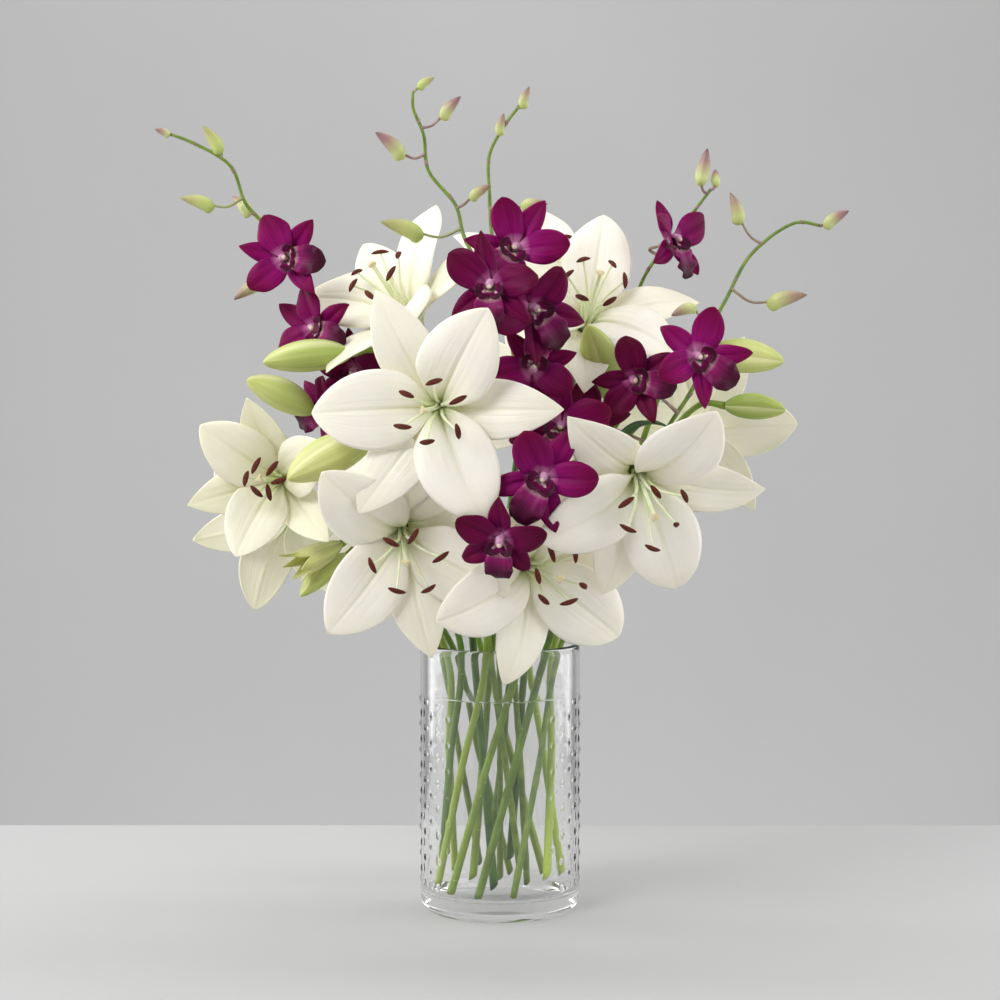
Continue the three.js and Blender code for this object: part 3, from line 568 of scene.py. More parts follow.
def petal(bm, turn, length, width, first, last, start, back, claw, belly=0.5, point=0.8, fold=0.2, recurve=0.0,
          ripple=0.0, waves=1.6, phase=0.0, lean=0.0, twist=0.0, groove=0.0, curl=0.0, ribs=0.0, across=20,
          along=40, shade=0.0, finish=0):
    """A petal as an open sheet: a grid bent along its spine, wrapped round the bloom's axis where it is steep, and
    shaped across: folded at the midrib, grooved along it, ribbed, curled back at the edges and rippled. It slopes
    from first to last degrees off the axis, it starts at a distance from the axis and back along it, and claw is
    its width there."""
    line = spine(length, first, last, recurve)
    power = math.log(0.5) / math.log(belly)

    def rule(u, t):
        place = t * (len(line) - 1)
        i = min(int(place), len(line) - 2)
        r, h, slope = (a + (b - a) * (place - i) for a, b in zip(line[i], line[i + 1]))
        u = math.copysign(abs(u) ** 1.3, u)
        full = max(0.0, math.sin(math.pi * t ** power)) ** point
        half = max(0.25, claw / 2 * (1 - t) + (width / 2 - claw / 4) * full)
        side = u * half
        edge = abs(u)
        lift = fold * half * (2 * math.hypot(edge, 0.06) - 1.1 * edge ** 2) * (1 - 0.75 * t)
        lift -= curl * half * edge ** 4
        lift += ripple * edge ** 2.6 * math.sin(math.tau * waves * t + phase + (1.9 if u > 0 else 0.0)) * full
        deep = groove * (1 - t) ** 0.7 * min(1.0, t * 9)
        lift -= deep * (math.exp(-(side / 1.2) ** 2) - 0.45 * math.exp(-((abs(side) - 2.6) / 1.3) ** 2))
        lift += ribs * math.cos(side / 1.1) * (1 - edge ** 2) * min(1.0, 5 * t) * (1 - 0.7 * t)
        roll = rad(twist) * t
        side, lift = side * math.cos(roll) - lift * math.sin(roll), lift * math.cos(roll) + side * math.sin(roll)
        side += lean * t ** 2
        r += start - math.cos(slope) * lift
        angle = max(-rad(56), min(rad(56), side / max(r, 0.5)))
        wrap = max(0.0, math.cos(slope))
        return Vector((r * (1 + (math.cos(angle) - 1) * wrap), -(r * math.sin(angle) * wrap + side * (1 - wrap)),
                       back + h + math.sin(slope) * lift))

    part = new_shape()
    bmesh.ops.create_grid(part, x_segments=across, y_segments=along, size=0.5, calc_uvs=True)
    for vert in part.verts:
        vert.co = rule(2 * vert.co.x, vert.co.y + 0.5)
    bmesh.ops.transform(part, matrix=Matrix.Rotation(rad(turn), 4, "Z"), verts=part.verts)
    dress(part, finish)
    paint(part, shade)
    join(bm, part)


def new_shape():
    """An empty bmesh that keeps a UV map and a shade for each vertex."""
    bm = bmesh.new()
    bm.loops.layers.uv.new("UVMap")
    bm.verts.layers.float.new("shade")
    return bm


def add_piece(name, bm, place, finishes, slot, *nodes, thick=None):
    """Makes the shape an object at its place in the bunch, riding on the vase and standing for its CAD nodes. A
    shape with a thickness is an open sheet, and is thickened evenly to both sides."""
    bmesh.ops.transform(bm, matrix=Matrix.Scale(MM, 4) @ place, verts=bm.verts)
    if thick is None:
        bmesh.ops.recalc_face_normals(bm, faces=bm.faces)
    mesh = bpy.data.meshes.new(name)
    bm.to_mesh(mesh)
    bm.free()
    mesh.shade_smooth()
    for finish in finishes:
        mesh.materials.append(finish)
    made = bpy.data.objects.new(name, mesh)
    bpy.context.scene.collection.objects.link(made)
    if thick:
        solid = made.modifiers.new("thickness", "SOLIDIFY")
        solid.thickness = thick * MM
        solid.offset = 0
    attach(made, "root")
    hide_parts(*nodes)
    return made


# ---- the vase and its water ----

def turned(bm, profile, steps):
    """Spins a section of (radius, height) points, whose ends are on the axis, a quarter of the way round, and
    repeats the quarter into a closed body."""
    verts = [bm.verts.new((r, 0, z)) for r, z in profile]
    edges = [bm.edges.new(pair) for pair in zip(verts, verts[1:])]
    bmesh.ops.spin(bm, geom=verts + edges, cent=(0, 0, 0), axis=(0, 0, 1), dvec=(0, 0, 0), angle=math.tau / 4,
                   steps=steps // 4)
    quarter = bm.verts[:] + bm.edges[:] + bm.faces[:]
    for turn in (90, 180, 270):
        copy = bmesh.ops.duplicate(bm, geom=quarter)["geom"]
        bmesh.ops.rotate(bm, cent=(0, 0, 0), matrix=Matrix.Rotation(rad(turn), 3, "Z"),
                         verts=[part for part in copy if isinstance(part, bmesh.types.BMVert)])
    bmesh.ops.remove_doubles(bm, verts=bm.verts, dist=0.004)
    bmesh.ops.recalc_face_normals(bm, faces=bm.faces)


def smooth_step(low, high, value):
    """0 up to low, 1 from high, and a smooth rise between."""
    t = max(0.0, min(1.0, (value - low) / (high - low)))
    return t * t * (3 - 2 * t)


def arc(centre_r, centre_z, radius, start, end, steps):
    """Points on a quarter or half circle in section, without its first point."""
    turns = [rad(start + (end - start) * i / steps) for i in range(1, steps + 1)]
    return [(centre_r + radius * math.cos(a), centre_z + radius * math.sin(a)) for a in turns]


def make_vase():
    """The vase: a pressed glass cylinder with a heavy foot, a hollow under it and rows of raised dots."""
    radius, height, wall, floor = size("vase_radius"), size("vase_height"), size("wall"), size("vase_floor")
    # Under the foot: a hollow with a round edge, the ring it stands on, and a round heel up to the side.
    hollow, hollow_edge, hollow_depth = 27.0, 6.0, 2.0
    heel = 8.5
    foot = radius - heel - 1.0
    profile = [(0, hollow_depth), (hollow - hollow_edge, hollow_depth)]
    profile += arc(hollow - hollow_edge, hollow_depth - hollow_edge, hollow_edge, 90, 42, 6)
    profile += [(hollow + 1, 0.0), (foot - 6, 0.0), (foot, 0.0)]
    profile += arc(foot, heel + 0.5, heel + 0.5, -90, -6, 12) + [(radius, heel + 4)]
    # The side is in steps fine enough for the dots.
    step = 0.9
    steps = int((height - 3 - heel - 5) / step)
    profile += [(radius, heel + 5 + step * i) for i in range(steps)]
    profile += arc(radius - wall / 2, height - wall / 2, wall / 2, 0, 180, 12)
    inner, corner = radius - wall, 7
    profile += [(inner, height - 8 - 12 * i) for i in range(13)] + [(inner, floor + corner + 1)]
    profile += arc(inner - corner, floor + corner, corner, 0, -90, 10)
    profile += [(24, floor), (20, floor + 0.5), (0, floor + 0.7)]
    bm = new_shape()
    turned(bm, profile, 320)
    # Upright oval dots, each row turned half a pitch from the one below it. They fade out towards the front and the
    # back, where they would bend the stems that are looked at through them.
    lift, rows, first_row, row_gap, around, half_wide, half_tall = size("dot_height"), 15, 22, 9.0, 18, 1.9, 2.9
    for vert in bm.verts:
        row = round((vert.co.z - first_row) / row_gap)
        if math.hypot(vert.co.x, vert.co.y) < radius - 0.1 or not 0 <= row < rows:
            continue
        turn = math.degrees(math.atan2(vert.co.y, vert.co.x)) / (360 / around) + 0.5 * (row % 2)
        aside = (turn - round(turn)) * math.tau * radius / around
        above = vert.co.z - first_row - row * row_gap
        swell = max(0.0, 1 - (aside / half_wide) ** 2 - (above / half_tall) ** 2)
        grown = 1 + lift * smooth_step(0.5, 0.85, abs(vert.co.x) / radius) * swell ** 1.5 / radius
        vert.co.x *= grown
        vert.co.y *= grown
    # The level faces of the floor and the foot, and the rim, have the finish that light isn't caught in.
    for face in bm.faces:
        middle = face.calc_center_median()
        level = middle.z < floor + 1 and math.hypot(middle.x, middle.y) < radius - 2.5
        face.material_index = 1 if level or middle.z > height - 4 else 0
    finishes = clear("soda-lime glass", 1.5), clear("soda-lime glass foot", 1.5, False)
    add_piece("vase_glass", bm, Matrix(), finishes, "glass", "vase")


def make_water():
    """The water: clear, level, and drawn a little way up the glass at its edge."""
    gap, corner = 0.08, 7
    floor, level, inner = size("vase_floor"), size("water_level"), size("vase_radius") - size("wall") - gap
    # The surface rises by up to 1.5 mm over the last 5 mm to the glass.
    reach, rise = 5, 1.5
    creep = [(inner - reach + reach * i / 12, level + rise * math.exp(-(reach - reach * i / 12) / 1.3))
             for i in range(13)]
    profile = [(0, level), (20, level), (38, level), (inner - corner, level)] + creep
    profile += [(inner, level - 6)] + [(inner, level - 20 - 18 * i) for i in range(6)]
    profile += [(inner, floor + corner + 1)] + arc(inner - corner, floor + corner, corner - 0.1, 0, -90, 10)
    profile += [(24, floor + 0.1), (20, floor + 0.6), (0, floor + 0.8)]
    bm = new_shape()
    turned(bm, profile, 160)
    for face in bm.faces:
        middle = face.calc_center_median()
        edge = math.hypot(middle.x, middle.y) > inner - 3.2
        face.material_index = 2 if middle.z < level - 0.5 else 1 if edge else 0
    # The body bends light far less than real water, so the stems in it keep their own width; only the edge that
    # creeps up the glass is drawn at water's true index, which gives the thin line round the vase.
    finishes = clear("still water", 1.06), clear("water edge", 1.33), clear("water against glass", 1.0)
    add_piece("vase_water", bm, Matrix(), finishes, "water", "water")


# ---- stems ----

def below_mouth(mouth, ring, foot):
    """A stem's points from its cut end to the vase's mouth. All those of a ring wind the same way."""
    radius, twist = RINGS[ring]
    top = Vector((radius * math.cos(rad(mouth)), radius * math.sin(rad(mouth)), MOUTH_HEIGHT))
    low = Vector((radius * math.cos(rad(mouth - twist)), radius * math.sin(rad(mouth - twist)), foot))
    return [low, low.lerp(top, 0.5), top]


def behind(at, azimuth, elevation, distance):
    """A point on a bloom's axis, behind it."""
    return bloom_frame(at, azimuth, elevation) @ Vector((0, 0, -distance))


def nearest(line, place):
    """The point of a line that is nearest to a place."""
    return min(line, key=lambda point: (point - Vector(place)).length)


def stalk_radii(start, end, count, swellings, swell=0.16, reach=0.012):
    """A stem's radius along its length, with a slight swelling at each node."""
    radii = []
    for i in range(count + 1):
        t = i / count
        node = max((math.exp(-((t - s) / reach) ** 2) for s in swellings), default=0.0)
        radii.append((start + (end - start) * t) * (1 + swell * node))
    return radii


def on_line(line, t, turn=0.0):
    """The frame of a thing that grows from a line at t along it, turned round it."""
    i = min(int(t * (len(line) - 1)), len(line) - 2)
    return Matrix.Translation(line[i]) @ facing(line[i + 1] - line[i]) @ Matrix.Rotation(turn, 4, "Z")


def scar(bm, line, t, radius, turn, shade):
    """The scar of a stripped leaf: a small ridge on the side of a stem, half sunk in it."""
    blob(bm, 8, 6, lambda p: Vector((radius * (0.93 + 0.13 * p.x), radius * 0.5 * p.y, 0.6 * p.z)),
         on_line(line, t, turn), 0, shade)


def make_lily_stems():
    """Lily stems: round, stripped of their leaves below, cut at a slant and bending out to each bloom."""
    thick, steps, joints = size("lily_stem"), 110, 14
    for name, (mouth, ring, foot, bend, bloom, fork, buds, by) in LILY_STEMS.items():
        chance = random.Random(name)
        at, azimuth, elevation = LILIES[bloom][:3]
        points = below_mouth(mouth, ring, foot) + [bend, behind(at, azimuth, elevation, 24),
                                                   behind(at, azimuth, elevation, 1.0)]
        line = curve_through(points, steps)
        nodes = [(k + chance.uniform(0.2, 0.8)) / joints for k in range(joints)]
        tone = chance.uniform(0.0, 1.0) ** 1.3
        bm = new_shape()
        radii = stalk_radii(thick * chance.uniform(0.90, 1.04), thick * 0.72, steps, nodes, 0.03, 0.005)
        # Each stem's own tone pales it towards yellow-green, most at its cut end and not at all from 330 mm up: painted
        # light on the stems in the water, and painted shade higher up where they crowd through the mouth.
        tube(bm, line, radii, 18, lambda p: tone * max(0.0, 1 - p.z / 330), 0, CUT_SLANT, 1)
        for node in nodes[:-2]:
            turn = chance.uniform(0, math.tau)
            scar(bm, line, node, radii[int(node * steps)], turn, min(1.0, tone + 0.3))
        for bud in buds:
            base, tip = (Vector(place) for place in BUDS[bud][:2])
            back = (base - tip).normalized()
            stalk = [nearest(line, fork)] + ([Vector(by)] if by else []) + [base + back * 16, base - back * 1.5]
            radii = stalk_radii(2.2, 2.0, 36, (1.0,), 0.35, 0.06)
            tube(bm, curve_through(stalk, 36), radii, 14, 0.35)
        finishes = finish_named("lily stalk"), finish_named("cut end")
        add_piece(f"{name}_stalk", bm, Matrix(), finishes, "lily_stem", name)


def small_bud(bm, base, tip, green):
    """A closed orchid bud: long, a little curved, pointed at its tip, with a chin on its under side."""
    base, tip = Vector(base), Vector(tip)
    length = (tip - base).length
    wide = 0.155 * length + 0.9

    def rule(p):
        s = (p.z + 1) / 2
        slim = max(0.0, math.sin(math.pi * s ** 0.66)) ** 0.7 if 0 < s < 1 else 0.0
        seam = 1 - 0.07 * (1 - abs(math.cos(1.5 * math.atan2(p.y, p.x)))) ** 2
        flat = math.hypot(p.x, p.y) or 1.0
        chin = 0.45 * wide * math.exp(-((s - 0.12) / 0.12) ** 2) * max(0.0, -p.y / flat)
        x, y = p.x / flat * wide * slim * seam, p.y / flat * (wide * slim * seam + chin * slim)
        return Vector((x, y + 0.10 * length * (s - s ** 2) * 2 - 0.05 * length, length * (s - 0.02)))

    blob(bm, 18, 14, rule, Matrix.Translation(base) @ facing(tip - base), 2, green)


def bract(bm, line, t, radius, turn):
    """A papery scale hugging the stem at a node."""
    def rule(p):
        s = (p.z + 1) / 2
        around = math.atan2(p.y, p.x)
        reach = 1 + 0.12 * max(0.0, math.cos(around))
        shoulder = radius * reach * (1.08 if 0.02 < s < 0.98 else 1.0)
        tall = 3.6 * (0.35 + 0.65 * max(0.0, math.cos(around)) ** 2)
        return Vector((math.cos(around) * shoulder, math.sin(around) * shoulder, s * tall)) if 0 < s < 1 else Vector(
            (0, 0, s * 1.5))

    blob(bm, 14, 8, rule, on_line(line, t, turn), 1)


def make_sprays():
    """Orchid sprays: wiry jointed stems that carry blooms on mauve stalks and end in small buds."""
    thick, steps, joints = size("spray_stem"), 160, 18
    for name, (mouth, ring, foot, points, blooms, buds) in SPRAYS.items():
        chance = random.Random(name)
        line = curve_through(below_mouth(mouth, ring, foot) + list(points), steps)
        nodes = [(k + chance.uniform(0.35, 0.65)) / joints for k in range(joints)]
        bm = new_shape()
        radii = stalk_radii(thick, thick * 0.46, steps, nodes, 0.10, 0.006)
        tube(bm, line, radii, 14, 0.0, 0, CUT_SLANT)
        for node in nodes[6:]:
            bract(bm, line, node, radii[int(node * steps)], chance.uniform(0, math.tau))
        for bloom in blooms:
            at, azimuth, elevation = ORCHIDS[bloom][:3]
            back = behind(at, azimuth, elevation, 16)
            stalk = curve_through([nearest(line, back), back, behind(at, azimuth, elevation, 5)], 22)
            tube(bm, stalk, stalk_radii(1.15, 1.0, 22, (0.0, 1.0), 0.5, 0.08), 10, 0.15, 1)
        for base, tip in buds:
            base, tip = Vector(base), Vector(tip)
            root = nearest(line, base)
            middle = root.lerp(base, 0.55) - Vector((0, 0, 0.14 * (base - root).length))
            stalk = curve_through([root, middle, base.lerp(tip, 0.12)], 18) if (base - root).length > 3 else [
                root, root.lerp(base, 0.6), base.lerp(tip, 0.12)]
            green = chance.choice((0.0, 0.2, 0.65))
            tube(bm, stalk, stalk_radii(1.0, 0.85, len(stalk) - 1, (0.0,), 0.4, 0.1), 10, green, 1)
            small_bud(bm, base, tip, green)
        finishes = finish_named("spray stalk"), finish_named("mauve stalk"), finish_named("orchid bud skin")
        add_piece(f"{name}_stalk", bm, Matrix(), finishes, "orchid_spray", name)


# ---- lilies ----

def make_lilies():
    """Open lilies: three broad inner tepals over three narrower outer ones, six stamens and a pistil."""
    for name, (at, azimuth, elevation, spin, offsets, slopes, length, slope) in LILIES.items():
        chance = random.Random(name)
        young = YOUNG.get(name, GROWN)
        frame_here = bloom_frame(at, azimuth, elevation, spin)
        bm = new_shape()
        for i in range(6):
            outer = i % 2 == 0
            petal(bm, 60 * i + offsets[i], length * chance.uniform(0.97, 1.02), length * (0.43 if outer else 0.58),
                  last=slope + slopes[i], claw=6.5, ribs=0.24, recurve=chance.uniform(12, 34),
                  ripple=chance.uniform(0.8, 1.3) * (1.0 if outer else 2.0), waves=chance.uniform(1.1, 1.9),
                  phase=chance.uniform(0, math.tau), lean=chance.uniform(-4.5, 4.5), twist=chance.uniform(-10, 10),
                  across=30, along=44, shade=min(1.0, young + (0.10 if outer else 0.0) + chance.uniform(0, 0.05)),
                  **(OUTER_TEPAL if outer else INNER_TEPAL))
        add_piece(f"{name}_tepals", bm, frame_here, (finish_named("lily petal"),), "lily", name,
                  thick=size("petal_thickness"))
        bm = new_shape()
        blob_at(bm, (0, 0, 0), (5.0, 5.0, 5.5), 3, lobes=0.0)
        grow_stamens(bm, chance, 50 * length / 88, 0.5 if slope < 60 else 1.0)
        finishes = [finish_named(n) for n in ("lily filament", "pollen", "stigma", "lily stalk")]
        add_piece(f"{name}_stamens", bm, frame_here, finishes, "lily", name)


def blob_at(bm, place, halves, finish, lobes=0.0, turn=None, around=20, up=14):
    """A rounded body of given half sizes, with three lobes if asked."""
    def rule(p):
        swell = 1 + lobes * (math.cos(3 * math.atan2(p.y, p.x)) - 1) * math.hypot(p.x, p.y)
        return Vector((p.x * halves[0] * swell, p.y * halves[1] * swell, p.z * halves[2]))

    blob(bm, around, up, rule, Matrix.Translation(place) @ (turn or Matrix()), finish)


def grow_stamens(bm, chance, length, spread):
    """Six stamens, each an arched filament with an anther hinged on its tip, round a style with a lobed stigma."""
    for i in range(6):
        around = Matrix.Rotation(rad(60 * i + 30 + chance.uniform(-9, 9)), 4, "Z")
        splay = rad(chance.uniform(16, 24) * spread)
        long = length * chance.uniform(0.94, 1.06)
        tip = Vector((2.4 + long * math.sin(splay), 0, 8 + long * math.cos(splay)))
        middle = Vector((2.4 + 0.42 * long * math.sin(splay * 0.72), chance.uniform(-0.8, 0.8), 8 + 0.5 * long))
        line = [around @ p for p in curve_through([Vector((2.0, 0, 3)), middle, tip], 22)]
        tube(bm, line, [1.5 - 0.85 * (k / 22) ** 0.8 for k in range(23)], 10)
        way = (line[-1] - line[-4]).normalized()
        lean = facing(way) @ Matrix.Rotation(chance.uniform(0, math.pi), 4, "Z") @ Matrix.Rotation(
            rad(chance.uniform(66, 100)), 4, "X")
        half = chance.uniform(5.4, 6.6)

        def anther(p):
            """Two pollen sacs side by side, bowed a little."""
            cleft = 1 - 0.28 * math.exp(-(p.x / 0.22) ** 2) * (1 if p.y > 0 else 0.5)
            slim = 1 - 0.25 * p.z ** 4
            return Vector((p.x * 1.9 * slim, p.y * 1.5 * cleft * slim - 0.8 * p.z ** 2, p.z * half))

        blob(bm, 18, 16, anther, Matrix.Translation(line[-1] + way * 0.9) @ lean, 1)
    bend = Vector((chance.uniform(-3, 3), chance.uniform(-3, 3), 8 + length * 1.04))
    style = curve_through([Vector((0, 0, 5)), Vector((0, 0, 24)), bend], 26)
    tube(bm, style, stalk_radii(1.6, 1.4, 26, ()), 12)
    blob_at(bm, (0, 0, 10), (2.5, 2.5, 8.5), 0, lobes=0.12)
    way = facing(style[-1] - style[-4])
    blob_at(bm, style[-1], (3.3, 3.3, 1.9), 2, lobes=0.24, turn=way, around=24)


def make_lily_buds():
    """Lily buds: closed tepals meeting in three seams, each ribbed down its back."""
    for name, (base, tip, radius, green) in BUDS.items():
        base, tip = Vector(base), Vector(tip)
        length = (tip - base).length

        def rule(p):
            s = (p.z + 1) / 2
            around = math.atan2(p.y, p.x)
            # Each closed tepal is rounded and ribbed, with a crease on either side of it.
            body = 0.84 + 0.15 * abs(math.cos(1.5 * around)) ** 0.6 + 0.05 * math.exp(
                -(math.sin(1.5 * around) / 0.2) ** 2)
            slim = max(0.0, math.sin(math.pi * min(1.0, s) ** 0.98)) ** 0.58 * (1.02 - 0.10 * s) if s > 0 else 0.0
            flat = math.hypot(p.x, p.y) or 1.0
            bow = 0.10 * length * (s - s * s)
            return Vector((p.x / flat * radius * slim * body, p.y / flat * radius * slim * body + bow, length * s))

        def paler_seams(place):
            return max(0.0, green - 0.45 * math.exp(-(math.cos(1.5 * math.atan2(place.y, place.x)) / 0.3) ** 2))

        bm = new_shape()
        thick = None
        if name == "bud_low_left":
            opening_bud(bm, length, radius)
            thick = 0.8
        else:
            blob(bm, 72, 40, rule, None, 0, paler_seams)
        place = Matrix.Translation(base) @ facing(tip - base)
        add_piece(f"{name}_skin", bm, place, (finish_named("bud skin"),), "lily_bud", name, thick=thick)


def opening_bud(bm, length, radius):
    """A bud about to open: six narrow green tepals still upright, their tips just parting."""
    chance = random.Random("opening bud")
    for i in range(6):
        outer = i % 2 == 0
        petal(bm, 60 * i, length * chance.uniform(0.94, 1.04), radius * (1.6 if outer else 1.25), first=30, last=-2,
              start=1.4, back=0 if outer else 0.8, claw=4.0, belly=0.45, point=0.9, fold=0.3,
              recurve=chance.uniform(16, 44), ripple=0.3, twist=chance.uniform(-12, 12), groove=0.5, across=14,
              along=30, shade=0.05)


# ---- orchids ----

def make_orchids():
    """Orchid blooms: two broad petals between three pointed sepals, and a dark ruffled lip round the column."""
    for name, (at, azimuth, elevation, lip, scale, deep) in ORCHIDS.items():
        chance = random.Random(name)
        long = size("orchid_petal") * scale
        place = bloom_frame(at, azimuth, elevation, lip + 90)
        bm = new_shape()
        # A bloom's deep is its painted shade, which its sepals carry to their finish, and its petals with a little more
        # at random.
        # Three sepals, then the two broad petals between them.
        for turn in (90, 218, 322):
            petal(bm, turn + chance.uniform(-13, 13), long * chance.uniform(0.96, 1.14),
                  long * chance.uniform(0.42, 0.52), first=52, last=86 + chance.uniform(-20, 16), start=2, back=-1.2,
                  claw=4.5, belly=0.5, point=0.78, fold=chance.uniform(0.15, 0.6), recurve=chance.uniform(-10, 70),
                  ripple=0.6, phase=chance.uniform(0, 6), lean=chance.uniform(-3, 3), twist=chance.uniform(-42, 42),
                  groove=0.4, curl=0.14, across=16, along=28, shade=deep)
        for turn in (152, 28):
            petal(bm, turn + chance.uniform(-12, 12), long * chance.uniform(0.98, 1.1),
                  long * chance.uniform(0.66, 0.80), first=44, last=82 + chance.uniform(-24, 16), start=2, back=1.6,
                  claw=3.5, belly=0.58, point=0.58, fold=chance.uniform(0.04, 0.45), recurve=chance.uniform(-20, 60),
                  ripple=chance.uniform(1.0, 2.2), waves=chance.uniform(1.0, 1.9), phase=chance.uniform(0, 6),
                  lean=chance.uniform(-3, 3), twist=chance.uniform(-34, 34), groove=0.4, curl=0.16, across=20,
                  along=28, shade=min(1.0, deep + chance.uniform(0, 0.15)))
        # The lip's long middle lobe, and the two side lobes that stand up round the column.
        petal(bm, 270, long, long * 0.66, first=10, last=100, start=3.0, back=0.5, claw=5, belly=0.64, point=0.6,
              fold=0.5, recurve=40, ripple=2.0, waves=3.8, phase=chance.uniform(0, 6), groove=-0.8, curl=0.1,
              across=24, along=32, finish=1)
        for turn in (214, 326):
            petal(bm, turn, long * 0.46, long * 0.44, first=2, last=38, start=3.8, back=1.0, claw=4, belly=0.55,
                  point=0.5, fold=0.3, ripple=0.9, waves=2.2, phase=chance.uniform(0, 6), across=12, along=16,
                  finish=1)
        finishes = finish_named("orchid petal"), finish_named("orchid lip")
        add_piece(f"{name}_petals", bm, place, finishes, "orchid", name, thick=0.6)
        bm = new_shape()
        tube(bm, curve_through([(0, 1.0, -1), (0, 2.2, 5), (0, 0.8, 10.5)], 12),
             [2.3 + 0.7 * math.sin(math.pi * k / 12) for k in range(13)], 14)
        blob_at(bm, (0, -0.2, 10.6), (1.7, 1.5, 1.2), 1)
        # The chin behind the bloom, which the two lower sepals run down into.
        chin = curve_through([(0, 0, 0.5), (0, -2.5, -3.5), (0, -6.5, -7.5)], 10)
        tube(bm, chin, [3.4 - 2.3 * (k / 10) ** 1.2 for k in range(11)], 14, 0.0, 2)
        tube(bm, curve_through([(0, 0, -1), (0, 0, -4), (0, 0, -7)], 6), [3.0 - 0.28 * k for k in range(7)], 12, 0.0, 2)
        finishes = finish_named("orchid column"), finish_named("orchid cap"), finish_named("mauve stalk")
        add_piece(f"{name}_column", bm, place, finishes, "orchid", name)


# ---- leaves ----

def make_leaves():
    """Leaves left on the stems: narrow, folded along the midrib and bowing over."""
    for name, (base, tip, bow, width) in LEAVES.items():
        base, along, bow = Vector(base), Vector(tip) - Vector(base), Vector(bow)
        side = along.cross(bow).normalized()
        up = side.cross(along).normalized()
        bm = new_shape()
        made = bmesh.ops.create_grid(bm, x_segments=16, y_segments=40, size=0.5, calc_uvs=True)["verts"]
        for vert in made:
            u, t = 2 * vert.co.x, vert.co.y + 0.5
            half = max(0.5, width / 2 * max(0.0, math.sin(math.pi * min(1.0, t) ** 0.8)) ** 0.9)
            rise = half * (0.5 * abs(u) - 0.2 * u * u) - 0.5 * math.exp(-(u * half / 1.0) ** 2)
            rise += 0.7 * math.sin(t * 11) * u * u
            vert.co = base + along * t + bow * math.sin(math.pi * t) + side * u * half + up * rise
        add_piece(f"{name}_blade", bm, Matrix(), (finish_named("leaf skin"),), "leaf", name, thick=0.7)


# ---- the stage ----

def look_at(made, place, target):
    """Puts a lamp or the camera at a place, turned towards a target."""
    made.location = place
    made.rotation_euler = (Vector(target) - Vector(place)).to_track_quat("-Z", "Y").to_euler()
    bpy.context.scene.collection.objects.link(made)


def board(name, width, depth, place, finish, upright=False):
    """A flat board of the stage, with its place in its mesh."""
    bm = new_shape()
    bmesh.ops.create_grid(bm, x_segments=1, y_segments=1, size=0.5, calc_uvs=True)
    stand = Matrix.Rotation(rad(90), 4, "X") if upright else Matrix()
    whole = Matrix.Translation(place) @ stand @ Matrix.Diagonal((width, depth, 1, 1))
    bmesh.ops.transform(bm, matrix=whole, verts=bm.verts)
    mesh = bpy.data.meshes.new(name)
    bm.to_mesh(mesh)
    bm.free()
    mesh.materials.append(finish)
    made = bpy.data.objects.new(name, mesh)
    bpy.context.scene.collection.objects.link(made)
    return made


def soft_box(name, power, width, height, place, target):
    """A white soft lamp, which the camera doesn't see."""
    lamp = bpy.data.lights.new(name, "AREA")
    lamp.shape, lamp.size, lamp.size_y = "RECTANGLE", width, height
    lamp.energy = power
    made = bpy.data.objects.new(name, lamp)
    made.visible_camera = False
    look_at(made, place, target)


def make_stage():
    """A pale floor that ends behind the vase, a plain wall beyond it, soft lamps and the camera."""
    look = bpy.context.scene.bunch_colours
    floor = painted_board("painted floor", tuple(look.floor) + (1,), tuple(c * 1.04 for c in look.floor) + (1,), 400)
    wall = painted_board("painted wall", tuple(look.wall) + (1,), tuple(c * 1.05 for c in look.wall) + (1,), 500,
                         one_sided=True)
    behind_vase, depth = 0.314, 4.314
    board("floor", 8.0, depth, (0, behind_vase - depth / 2, 0), floor)
    board("wall", 12.0, 8.0, (0, 1.6, 1.0), wall, upright=True)
    centre = (0, 0, 0.30)
    soft_box("key", 53, 1.2, 1.2, (-1.4, -1.8, 1.9), centre)
    soft_box("fill", 14, 1.2, 1.6, (1.7, -1.4, 0.9), centre)
    soft_box("left_side", 15, 1.3, 1.5, (-1.2, 0.2, 0.6), centre)
    soft_box("right_side", 12, 1.3, 1.5, (1.2, 0.2, 0.6), centre)
    soft_box("wall_wash", 32, 2.4, 0.8, (0, 0.35, 2.6), (0, 1.6, 0.5))
    soft_box("wall_wash_low", 15, 2.4, 0.6, (0, 0.8, -1.0), (0, 1.6, 0.1))
    world = bpy.data.worlds.new("soft room")
    world.use_nodes = True
    world.node_tree.nodes["Background"].inputs["Color"].default_value = linear("EFEFEF")
    world.node_tree.nodes["Background"].inputs["Strength"].default_value = 0.2
    bpy.context.scene.world = world
    bpy.context.scene.view_settings.view_transform = "Standard"
    lens = bpy.data.cameras.new("camera")
    lens.sensor_width, lens.lens = 36.0, 115.6
    lens.clip_end = 30.0
    camera = bpy.data.objects.new("camera", lens)
    look_at(camera, (0, -2.2, 0.470), (0, 0, 0.285))
    bpy.context.scene.camera = camera


# ---- the add-on ----

def length_of(name, description, default_mm):
    """A length that the user can change."""
    return bpy.props.FloatProperty(name=name, description=description, default=default_mm * MM, min=0.0,
                                   unit="LENGTH", subtype="DISTANCE", precision=5)


def colour_of(name, description, hex_colour):
    """A colour that the user can change."""
    return bpy.props.FloatVectorProperty(name=name, description=description, default=linear(hex_colour)[:3],
                                         size=3, min=0.0, max=1.0, subtype="COLOR")


